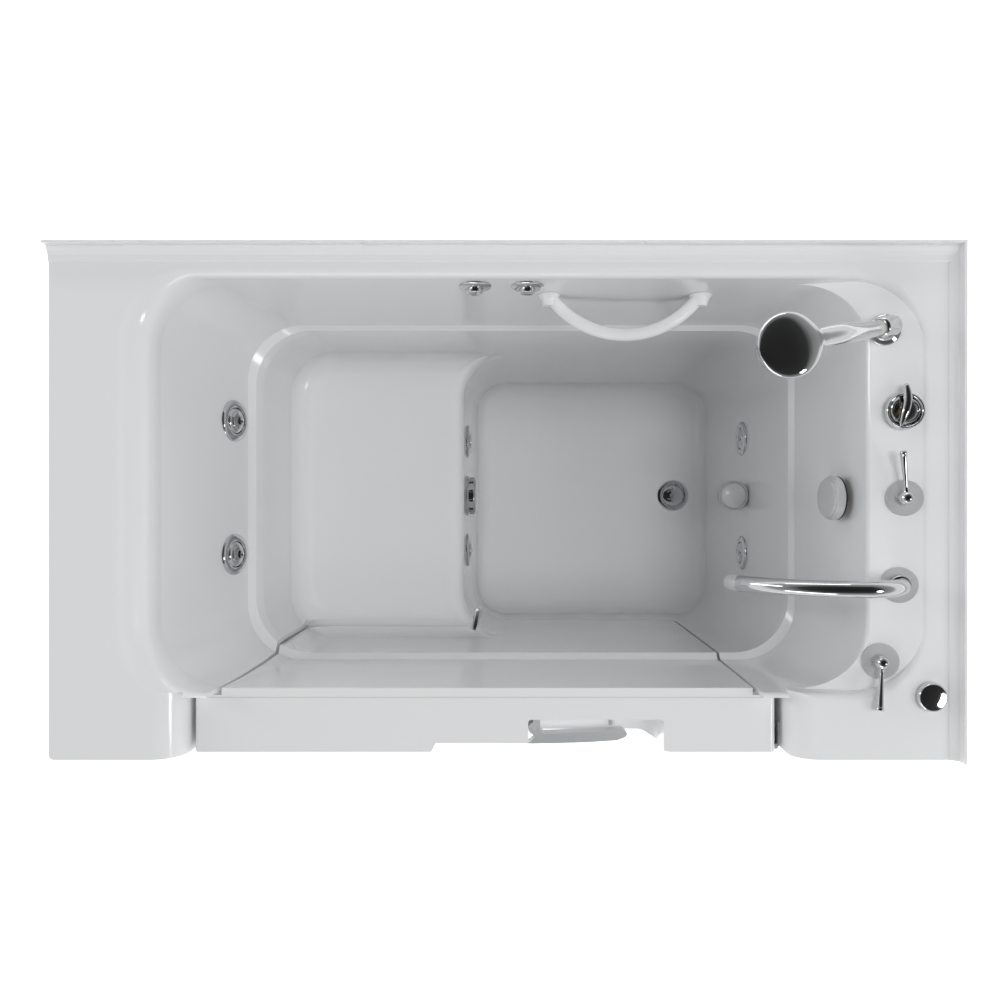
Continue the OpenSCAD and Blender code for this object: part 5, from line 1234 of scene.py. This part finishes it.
def build_spout():
    place = on_platform(SPOUT_AT)
    line = spout_line(-70, 26)
    tube = sweep("tube", line[:-3], [12] * (len(line) // 2) + [11.6] * (len(line) - 3 - len(line) // 2), 48,
                 place)
    mouth = (line[-1] - line[-3]).normalized()
    tip_at = place @ Matrix.Translation(line[-4]) @ mouth.to_track_quat("Z", "Y").to_matrix().to_4x4()
    length = (line[-1] - line[-4]).length
    collar = lathe("collar", [(0, 4.6), (14.6, 4.6), (15, 5.2), (15, 11.4), (14.2, 12.8), (12.6, 13.6),
                              (0, 13.6)], place)
    spout = gather("spout_tube", [tube, collar])
    finish_piece(spout, "tub", "chrome", "spout", angle=40)
    nose = lathe("spout_nose", [(0, -2), (10.6, -2), (11.6, 0.2), (11.7, 1), (11.7, length - 2.2),
                                (11.2, length - 0.8), (10.2, length), (8.6, length), (8.2, length - 3),
                                (0, length - 3)], tip_at)
    dress(nose, "tub", "satin", 35)


def build_diverter():
    place = on_platform(DIAL_AT)
    dial = lathe("dial", [(0, 0.3), (26.6, 0.3), (27, 0.8), (27, 5), (26.4, 13), (25.8, 14.6), (24.6, 15.4),
                          (23.4, 15.3), (22.2, 14.2), (20.4, 12.2), (18, 10.2), (14, 8.2), (9, 6.8),
                          (4, 6.2), (0, 6)],
                 place)
    line = [(-6.5, -22, 14.4), (-5.4, -17, 15.6), (-3.4, -9, 17), (-0.8, 0, 18), (1.4, 10, 18.1),
            (2.0, 20, 17.6), (1.4, 29, 16.8), (0.4, 35.5, 16), (0, 38.6, 15.6)]
    widths = [1.6, 3.4, 4.8, 6.0, 6.2, 5.8, 5.2, 4.2, 1.8]
    blade = sweep("blade", smooth_line(line, 5), stretch([w * 0.8 for w in widths], 5), 28, place,
                  flat=stretch(widths, 5), up=(0, 0, 1))
    foot = sweep("foot", [(-2.4, -9, 9), (-1, 0, 9), (0.8, 10, 9)], 8.4, 24, place, flat=3, up=(0, 0, 1))
    diverter = gather("diverter_handle", [dial, blade, foot])
    finish_piece(diverter, "diverter", "chrome", "diverter_dial", angle=38)


def smooth_line(points, steps):
    """A smooth line through points, each of whose spans looks at its two neighbours."""
    points = [Vector(p) for p in points]
    ends = [2 * points[0] - points[1], *points, 2 * points[-1] - points[-2]]
    out = []
    for a, b, c, d in zip(ends, ends[1:], ends[2:], ends[3:]):
        for t in spread(0, 1, steps)[:-1]:
            out.append(0.5 * (2 * b + (c - a) * t + (2 * a - 5 * b + 4 * c - d) * t ** 2
                              + (3 * b - 3 * c + d - a) * t ** 3))
    return out + [points[-1]]


def stretch(values, steps):
    out = []
    for a, b in zip(values, values[1:]):
        out += [a + (b - a) * t for t in spread(0, 1, steps)[:-1]]
    return out + [values[-1]]


def shower_body():
    """The hand shower's grip and head as one flattened bar. reach is measured level from
    the holder, half is half the head's width there and grip the handle's radius."""
    level = Vector((SHOWER_DIR.x, SHOWER_DIR.y, 0)).normalized()
    rise, first, neck, last = 31.5, 34, 100, 224.5
    point, reach, line, widths, depths = HOLDER_POINT + SHOWER_DIR * first, first * cos(rise), [], [], []
    while reach < last - 0.1:
        round_off = math.sqrt(max(0.0, 1 - ((reach - HEAD_REACH) / HEAD_R) ** 2))
        half = HEAD_R * round_off if abs(reach - HEAD_REACH) < HEAD_R else 0.0
        grip = 10.9 + 4.2 * math.exp(-((reach - neck) / 44) ** 2)
        if reach > HEAD_REACH:
            grip *= round_off
        width = (half ** 5 + grip ** 5) ** 0.2
        depth = grip + (min(8.6, width) - grip) * min(1.0, max(0.0, (reach - neck) / 45))
        line.append(point.copy())
        widths.append(max(width, 0.4))
        depths.append(max(min(depth, width), 0.3))
        edge = min(abs(reach - 138), last - reach)
        step = 0.25 if last - reach < 1 else 0.7 if edge < 8 else 1.6 if edge < 20 else 3.0
        if reach < 120:
            lift = rise + 5 * sin(180 * min(1.0, reach / 120))
        else:
            lift = rise * (1 + cos(180 * min(1.0, (reach - 120) / 66))) / 2
        point += (level * cos(lift) + Vector((0, 0, sin(lift)))) * (step / cos(lift))
        reach += step
    middle = min(line, key=lambda p: abs((p - HOLDER_POINT).dot(level) - HEAD_REACH))
    return sweep("grip", line, depths, 96, flat=widths, up=(0, 0, 1)), Matrix.Translation(middle)


def build_shower():
    base = lathe("base", [(0, -70), (12.4, -70), (13, -69.4), (13, 0.3), (22.6, 0.3), (23, 0.9), (22.6, 3),
                          (20.6, 4.6), (17, 5.6), (14.6, 7.6), (14, 10), (14, 20), (13.4, 23), (11, 26),
                          (0, 27)],
                 on_platform(HOLDER_AT))
    sleeve = lathe("sleeve", [(0, -10), (13, -10), (14.6, -8.6), (15, -7), (15, 15.4), (15.6, 16.4),
                              (15.6, 20.6), (15, 22), (13.6, 23.6), (12, 24), (0, 24)], along_shower())
    bore = lathe("bore", [(0, 0), (11.3, 0), (11.3, 22.8), (12.6, 25), (0, 25)], along_shower())
    holder = carve("shower_cradle", [base, sleeve], [bore])
    finish_piece(holder, "tub", "chrome", "shower_holder", angle=40)
    grip, head_at = shower_body()
    face = lathe("face", [(0, -10.4), (36, -10.4), (36.8, -9.6), (37.4, -6.5), (37.4, -2), (0, -2)], head_at)
    nub = lathe("nub", [(0, 8), (4.6, 8), (4.6, 12.8), (4.2, 13.6), (3, 14), (0, 14.1)],
                along_shower(158) @ turned("Y", 90), 48)
    hand = gather("hand_spray", [grip, face, nub])
    finish_piece(hand, "hand_shower", "chrome", "hand_shower", angle=38)
    cone = lathe("hand_spray_cone", [(0, 0.3), (10.4, 0.3), (11, 1), (11, 22), (11.2, 24.4), (11.2, 32),
                                     (10.8, 34.4), (0, 34.4)],
                 along_shower())
    dress(cone, "hand_shower", "pale_plastic", 35)
    places = []
    for ring, count in ((8, 6), (16, 12), (24, 18), (31, 24)):
        places += [head_at @ turned("Z", 360 * i / count) @ moved(ring, 0, -10.4) @ turned("X", 180)
                   for i in range(count)]
    nozzle = lathe("nozzle", [(0, -1), (1.3, -1), (1.1, 1.2), (0.5, 1.4), (0, 0.9)], None, 10)
    spray = copies("spray_nozzles", nozzle, places, "rubber")
    dress(spray, "hand_shower", "rubber", 40)


def build_air_control():
    at = moved(*AIR_AT, DECK)
    knob = lathe("knob", [(0, 9), (6.1, 9), (6.1, 0.3), (20.6, 0.3), (21, 0.9), (21, 8.6), (20.6, 10),
                          (19.8, 11.2), (18.8, 11.9), (18.3, 12.1), (17.8, 12.2), (0, 12.2)], at)
    ridge = sweep("ridge", [(20.3, 0, 1.2), (20.5, 0, 8), (19.6, 0, 10)], 0.75, 10)
    ridges = copies("ridges", ridge, [at @ turned("Z", 15 * i) for i in range(24)], "chrome")
    knob = gather("air_knob_cap", [knob, ridges])
    finish_piece(knob, "air_knob", "chrome", "air_control_knob", angle=38)
    body = lathe("air_valve", [(0, -68), (13, -68), (14, -67), *nut_profile(14, 19, 8), (14, 0), (6, 0),
                               (6, 8), (0, 8)],
                 at, 48)
    finish_piece(body, "tub", "grey_plastic", "air_control_body", angle=35)


# Pump, pipes and supports

def jet_point(jet, back):
    x, y, depth, tilt, side = jet
    return Vector((x - side * cos(tilt) * back, y, DECK - depth - sin(tilt) * back))


def plumb(name, lines, r, body, finish, *nodes, sleeves=True):
    """Pipes along lines with a socket at both sides of each bend."""
    parts = [tubes(name, lines, r, finish, r * 1.45)]
    ends = []
    for line in lines if sleeves else ():
        for before, point, after in zip(line, line[1:], line[2:]):
            for other in (before, after):
                way = (Vector(other) - Vector(point)).normalized()
                if (Vector(other) - Vector(point)).length > r * 4:
                    ends.append([Vector(point) + way * r * 1.2, Vector(point) + way * r * 2.4])
    if ends:
        parts.append(tubes(name, ends, r * 1.17, finish))
    return finish_piece(gather(name, parts), body, finish, *nodes, angle=40)


def build_pipes():
    jets = list(JETS.values())
    stub, lead = ([jet_point(jet, back) for jet in jets] for back in (61.3, 89.3))
    y, z, back = [jet[1] for jet in jets], 460, 334
    left, middle, right = lead[0].x, SEAT_FRONT - 210, lead[4].x + 9.5
    water = [[stub[1], lead[1], (left, y[1], z), (left, back, z), (right, back, z), (right, y[5], z),
              stub[5]],
             [(left, y[0], z), lead[0], stub[0]], [(right, y[4], z), stub[4]],
             [(middle, back, z), (middle, y[3], z), lead[3], stub[3]], [(middle, y[2], z), lead[2], stub[2]],
             [(middle, PUMP_Y, z), (middle, PUMP_Y, 301.3)]]
    plumb("water_pipes", water, 14, "tub", "pipe_plastic", "water_manifold")
    socket, r = 25.3, 6
    points = [jet_point(jet, 35) for jet in jets]
    x1, x0, y1, z1, low = AIR_AT[0] - r, left - 26, back + 18, z + 60, z + 32
    up = points[0].z + socket + 30
    rise = Vector((0, 0, socket))
    air = [[(x1, AIR_AT[1], DECK - 68.3), (x1, AIR_AT[1], z1), (x1, y1, z1), (x0, y1, z1), (x0, y[1], z1),
            (x0, y[1], up),
            (points[1].x, y[1], up), points[1] + rise * 1.14],
           [(x0, y[0], z1), (x0, y[0], up), (points[0].x, y[0], up), points[0] + rise * 1.14]]
    air += [[(x1, p.y, z1), (p.x, p.y, z1), p + rise] for p in points[4:]]
    air += [[(points[2].x, y1, z1), (points[2].x, y1, low), (points[2].x, y[3], low), points[3] + rise],
            [(points[2].x, y[2], low), points[2] + rise]]
    plumb("air_tubes", air, r, "tub", "air_plastic", "air_lines")
    start, turn = (SEAT_FRONT - 169.7, PUMP_Y, PUMP_Z), SEAT_FRONT - 105
    end = jet_point(SUCTION, 62)
    plumb("suction_hose", [[start, (turn, PUMP_Y, PUMP_Z), (turn, PUMP_Y, 330), (turn, MID_Y, end.z), end]],
          20, "tub", "pipe_plastic", "suction_pipe")
    waste = tubes("waste", [[(*DRAIN_AT, 83), (*RISER_AT, 83), (*RISER_AT, 885.8)]], 17, "pipe_plastic", 26)
    shoe = lathe("shoe", [(29.8, 77), (29.8, 108.7), (38, 108.7), (38, 71), (34, 65), (19.6, 63), (19, 61),
                          (19, 35), (17, 35), (17, 77)], moved(*DRAIN_AT, 0), 64, True)
    collars = [lathe("collar", [(0, -12), (21, -12), (22, -10.5), (22, 10.5), (21, 12), (0, 12)],
                     moved(*RISER_AT, h), 48)
               for h in (140, 500, 862)]
    finish_piece(gather("waste_run", [waste, shoe, *collars]), "tub", "pipe_plastic", "waste_pipes", angle=40)
    cable = tubes("plug_cable", [[(547, 30, 895.4), (547, 30, 104), (455.9, 30, 104)]], 3, "rubber", 22)
    finish_piece(cable, "tub", "rubber", "drain_cable", angle=40)


def pump_feet(name, x0, x1, offset, half, top):
    """Two blocks that stand on the tray at both sides of the pump's middle."""
    middles = (PUMP_Y - offset, PUMP_Y + offset)
    return [soften(block(name, (x0, y - half, TRAY_TOP), (x1, y + half, top)), 2, 30, 2) for y in middles]


def build_pump():
    along = moved(0, PUMP_Y, PUMP_Z) @ turned("Y", 90)
    x0 = SEAT_FRONT - 250
    volute = lathe("volute", [(r, x0 + z) for r, z in (
        (0, 0), (70, 0), (75, 3), (78, 10), (78, 16), (83, 17), (83, 25), (78, 26), (78, 48), (74, 58),
        (62, 65), (46, 68), (31, 69), (31, 74), (33, 75), (33, 80), (0, 80))], along, 96)
    outlet = lathe("outlet", [(0, 0), (19, 0), (19, 84), (22, 86), (22, 99), (21, 100), (0, 100)],
                   moved(x0 + 40, PUMP_Y, PUMP_Z), 64)
    bolt = [(r, x0 + z) for r, z in ((0, 14), (4, 14), (4, 27.5), (3.2, 29), (0, 29))]
    bolts = [lathe("bolt", bolt, along @ turned("Z", 30 + 60 * i) @ moved(79, 0, 0), 6) for i in range(6)]
    feet = pump_feet("foot", x0 + 25, x0 + 55, 45, 10, 157)
    pump = gather("pump_housing", [volute, outlet, *bolts, *feet])
    finish_piece(pump, "tub", "grey_plastic", "pump_volute", angle=35)
    m0 = x0 - 210
    can = lathe("can", [(r, m0 + z) for r, z in (
        (0, 0), (52, 0), (60, 4), (66, 12), (68, 20), (68, 150), (68, 190), (66, 196), (58, 206), (40, 210),
        (0, 210))], along, 96)
    fin = soften(block("fin", (m0 + 20, -2, 66), (m0 + 180, 2, 74)), 0.9, 30, 2)
    fins = copies("fins", fin, [moved(0, PUMP_Y, PUMP_Z) @ turned("X", 15 * i) for i in range(24)],
                  "motor_paint")
    cradle = pump_feet("cradle", m0 + 60, m0 + 150, 40, 12, 160)
    motor = gather("motor_casing", [can, fins, *cradle])
    finish_piece(motor, "tub", "motor_paint", "pump_motor", angle=35)
    case = soften(block("case", (-600, 130, TRAY_TOP), (-500, 290, 247)), 6, 30, 4)
    lid = soften(block("lid", (-501, 138, 125), (-496.5, 282, 239)), 1.8, 30, 3)
    glands = [lathe("gland", [(0, 246), (9.4, 246), (9.4, 252), (8, 253.4), (8, 260), (6.6, 261), (0, 261)],
                    moved(-590, 170 + 60 * i, 0), 6)
              for i in (0, 1)]
    finish_piece(gather("control_case", [case, lid, *glands]), "tub", "grey_plastic", "control_box", angle=35)


def build_feet():
    threads = [(6 if i % 2 else 5.3, z) for i, z in enumerate(spread(18, 66, 32))]
    foot = lathe("foot", [(0, 0), (24, 0), (26, 1.6), (26, 5), (25, 6.6), (13, 12.5), (10.6, 14), (8.6, 15.5),
                          (6, 16), *threads, (0, 68.9)], None, 32)
    places = [moved(x, y, 0) for x in (-628.7, 0, 628.7) for y in (-344.7, 344)]
    finish_piece(copies("screw_feet", foot, places, "grey_plastic"), "tub", "grey_plastic", "levelling_feet",
                 angle=32)
    nut = carve("nut", [prism("nut", disc(10.8, 6), 0, 10)], [rod("bore", 6, -2, 12, None, 32)])
    soften(nut, 0.7, 40, 2)
    finish_piece(copies("lock_nuts", nut, [place @ moved(0, 0, 59) for place in places], "galvanised_steel"),
                 "tub", "galvanised_steel", "foot_lock_nuts", angle=32)


KEPT = {
    "base_frame": "galvanised_steel", "frame_posts": "galvanised_steel", "equipment_tray": "wood",
    "door_frame": "galvanised_steel", "door_seal": "pale_plastic", "valve_bodies": "brass",
    "mixing_pipes": "copper",
    "lever_bracket": "satin", "latch_bolts": "galvanised_steel", "latch_keepers": "chrome",
    "hinge_door_leaf": "satin", "hinge_tub_leaf": "satin", "hinge_pin": "satin",
}


def finish_kept_nodes():
    """The frame, seals, brackets and hinge keep their own shapes."""
    for node, finish in KEPT.items():
        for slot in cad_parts[node].material_slots:
            slot.material = FINISHES[finish]


# Stage

def soft_light(name, place, aim, size, watts, seen=False):
    lamp = bpy.data.lights.new(name, "AREA")
    lamp.shape, lamp.size, lamp.size_y, lamp.energy = "RECTANGLE", size[0], size[1], watts
    obj = bpy.data.objects.new(name, lamp)
    obj.location = place
    obj.rotation_euler = (Vector(aim) - Vector(place)).to_track_quat("-Z", "Y").to_euler()
    obj.visible_glossy = seen
    bpy.context.scene.collection.objects.link(obj)


def build_stage():
    scene = bpy.context.scene
    stage = scene.bathtub_stage
    scene.view_settings.view_transform = "Standard"
    half = stage.floor_size / 2
    corners = [(-half, -half), (half, -half), (half, half), (-half, half)]
    floor = new_object("floor", [(x / MM, y / MM, 0) for x, y in corners], [(0, 1, 2, 3)])
    paper = Finish("white floor")
    paper.set(Base_Color=paper.mix(paper.noise(2, 2), (0.93, 0.93, 0.93), (0.95, 0.95, 0.95)), Roughness=0.9,
              Emission_Color=(1, 1, 1, 1), Emission_Strength=stage.floor_glow)
    floor.data.materials.append(paper.material)
    world = bpy.data.worlds.new("studio")
    scene.world = world
    world.use_nodes = True
    world.node_tree.nodes.clear()
    place, split, ramp, sky, out = (world.node_tree.nodes.new("ShaderNode" + kind) for kind in (
        "TexCoord", "SeparateXYZ", "ValToRGB", "Background", "OutputWorld"))
    first, last = ramp.color_ramp.elements
    first.position, first.color = 0.0, (1, 1, 1, 1)
    last.position, last.color = 1.0, (0.02, 0.02, 0.02, 1)
    for position, grey in ((0.2, 1.0), (0.34, 0.45), (0.62, 0.28), (0.76, 0.05)):
        ramp.color_ramp.elements.new(position).color = (grey, grey, grey, 1)
    sky.inputs["Strength"].default_value = stage.sky
    wire(world.node_tree, (place.outputs["Generated"], split.inputs[0]), (split.outputs["Z"], ramp.inputs[0]),
         (ramp.outputs[0], sky.inputs["Color"]), (sky.outputs[0], out.inputs[0]))
    power = stage.light_power
    soft_light("overhead", (0.9, 0.1, 9.0), (0, 0, 0.5), (3.0, 3.0), 560 * power)
    soft_light("right wash", (2.4, 0.2, 3.6), (-0.1, 0, 0.5), (1.8, 2.4), 44 * power)
    soft_light("key", (2.1, -0.9, 2.9), (-0.1, 0, 0.6), (0.5, 0.5), 16 * power, True)
    soft_light("left strip", (-2.5, 0.6, 1.8), (0, 0, 0.7), (0.35, 1.9), 26 * power, True)
    soft_light("front strip", (-0.6, -2.6, 2.2), (0, 0, 0.7), (2.2, 0.3), 26 * power, True)
    soft_light("back strip", (-0.3, 2.7, 2.0), (0, 0, 0.7), (2.6, 0.3), 20 * power, True)
    camera = bpy.data.cameras.new("camera")
    camera.lens, camera.sensor_width, camera.clip_start = stage.focal_length, 36, 0.05
    holder = bpy.data.objects.new("camera", camera)
    holder.location = (-0.006, 0.003, stage.camera_height)
    scene.collection.objects.link(holder)
    scene.camera = holder


# Values a user may change

def tint(name, description, colour):
    return FloatVectorProperty(name=name, description=description, default=colour, size=3, min=0, max=1,
                               subtype="COLOR")


class BathtubColours(bpy.types.PropertyGroup):
    acrylic: tint("Acrylic", "Colour of the shell, the door and the panels", (0.905, 0.91, 0.92))
    chrome: tint("Chrome", "Colour of the polished fittings", (0.72, 0.73, 0.74))
    satin: tint("Satin chrome", "Colour of the cover plates, the lever and the hinge", (0.66, 0.67, 0.68))
    zinc: tint("Galvanised steel", "Colour of the frame", (0.56, 0.58, 0.60))
    dark_plastic: tint("Dark plastic", "Colour of the jet bodies, the pump and the control box",
                       (0.075, 0.08, 0.085))
    pale_plastic: tint("Pale plastic", "Colour of the door seal and the spray's cone", (0.62, 0.62, 0.60))
    motor: tint("Motor enamel", "Colour of the pump motor", (0.05, 0.065, 0.09))
    pipe: tint("Pipe", "Colour of the water pipes", (0.72, 0.72, 0.69))
    air_tube: tint("Air tube", "Colour of the air tubes", (0.60, 0.64, 0.66))
    brass: tint("Brass", "Colour of the valve bodies", (0.62, 0.45, 0.20))
    copper: tint("Copper", "Colour of the mixing pipes", (0.68, 0.34, 0.20))
    plywood: tint("Plywood", "Colour of the equipment tray", (0.45, 0.31, 0.17))
    # The rubber colour also darkens the ring behind the overflow knob, which is painted shade in the gap
    # there.
    rubber: tint("Rubber", "Colour of the cable, the washer and the nozzles", (0.018, 0.018, 0.019))
    # The lens colour also tints the lens's painted glow.
    lens: tint("Lens", "Colour of the light's lens", (0.64, 0.65, 0.66))


class BathtubSizes(bpy.types.PropertyGroup):
    gloss: FloatProperty(name="Acrylic roughness", default=0.13, min=0.02, max=0.6, subtype="FACTOR",
                         description="Roughness of the acrylic, from mirror to matt")
    edge: FloatProperty(name="Door edge", description="Radius of the door's edges in millimetres",
                        default=3.0, min=0.5, max=6)
    round_steps: IntProperty(name="Round steps", description="Faces round a turned fitting", default=112,
                             min=32, max=192)
    roll_steps: IntProperty(name="Roll steps", description="Rows round the basin's rolled edges", default=9,
                            min=4, max=16)


class BathtubStage(bpy.types.PropertyGroup):
    camera_height: FloatProperty(name="Camera height", description="Height of the camera above the floor",
                                 default=2.260, min=1.5, max=6, unit="LENGTH")
    focal_length: FloatProperty(name="Focal length", description="Focal length of the camera", default=31.3,
                                min=10, max=120, unit="CAMERA")
    light_power: FloatProperty(name="Light power", description="Power of the studio lights against the usual",
                               default=0.4, min=0.1, max=5)
    sky: FloatProperty(name="Sky", description="Brightness of the surroundings", default=0.85, min=0, max=5)
    floor_size: FloatProperty(name="Floor", description="Width of the floor", default=14.0, min=4, max=40,
                              unit="LENGTH")
    floor_glow: FloatProperty(name="Floor glow", description="Light that the white floor gives off",
                              default=0.7, min=0, max=2)


def operator(name, label, doc, *works):
    """An operator that runs one step of the build."""
    def execute(self, context):
        for work in works:
            work()
        return {"FINISHED"}
    return type(f"BATHTUB_OT_{name}", (bpy.types.Operator,), {
        "bl_idname": f"bathtub.{name}", "bl_label": label, "__doc__": doc, "execute": execute})


STEPS = [
    operator("stage", "Stage", "Adds the floor, the lights and the camera", build_stage),
    operator("finishes", "Finishes", "Makes the materials and the node trees that repeat shapes",
             make_finishes, make_trees),
    operator("shell", "Shell", "Builds the acrylic shell with its basin, deck and door opening", build_shell),
    operator("flange", "Wall flange", "Builds the flange along the back and the tap end", build_flange),
    operator("panels", "Panels", "Builds the access panels and their screws", build_panels, build_screws),
    operator("door", "Door", "Builds the door's two skins", build_door),
    operator("door_lever", "Door lever", "Builds the lever that draws the bolts", build_door_lever),
    operator("jets", "Jets", "Builds the six jets", build_jets),
    operator("suction", "Suction", "Builds the suction cover and its body", build_suction),
    operator("light", "Light", "Builds the light on the end wall", build_light),
    operator("drain", "Drain", "Builds the drain, its plug and the overflow", build_drain),
    operator("buttons", "Buttons", "Builds the two push buttons", build_buttons),
    operator("grab_bar", "Grab bar", "Builds the arched grab bar", build_grab_bar),
    operator("taps", "Taps", "Builds the cover plates and the tap levers", build_cover_plates, build_levers),
    operator("spout", "Spout", "Builds the arched spout", build_spout),
    operator("diverter", "Diverter", "Builds the diverter's dished dial and blade", build_diverter),
    operator("shower", "Hand shower", "Builds the hand shower and its holder", build_shower),
    operator("air_control", "Air control", "Builds the fluted air control", build_air_control),
    operator("pipes", "Pipes", "Builds the water, air, suction and waste runs", build_pipes),
    operator("pump", "Pump", "Builds the pump and its control box", build_pump),
    operator("feet", "Feet", "Builds the screw feet and their nuts", build_feet),
    operator("kept", "Kept parts", "Gives the parts that keep their own shapes their finishes",
             finish_kept_nodes),
]


class BATHTUB_PT_panel(bpy.types.Panel):
    """Lists the steps and the values of the bathtub"""
    bl_idname = "BATHTUB_PT_panel"
    bl_label = "Bathtub"
    bl_space_type = "VIEW_3D"
    bl_region_type = "UI"
    bl_category = "Bathtub"

    def draw(self, context):
        for group in (context.scene.bathtub_colours, context.scene.bathtub_sizes,
                      context.scene.bathtub_stage):
            for name in group.__annotations__:
                self.layout.prop(group, name)
        for step in STEPS:
            self.layout.operator(step.bl_idname)


GROUPS = {"bathtub_colours": BathtubColours, "bathtub_sizes": BathtubSizes, "bathtub_stage": BathtubStage}


def register():
    for cls in (*GROUPS.values(), *STEPS, BATHTUB_PT_panel):
        bpy.utils.register_class(cls)
    for name, group in GROUPS.items():
        setattr(bpy.types.Scene, name, PointerProperty(type=group))


def unregister():
    for name in GROUPS:
        delattr(bpy.types.Scene, name)
    for cls in reversed((*GROUPS.values(), *STEPS, BATHTUB_PT_panel)):
        bpy.utils.unregister_class(cls)


def main():
    register()
    for step in STEPS:
        getattr(bpy.ops.bathtub, step.bl_idname.split(".")[1])()


if __name__ == "__main__":
    main()
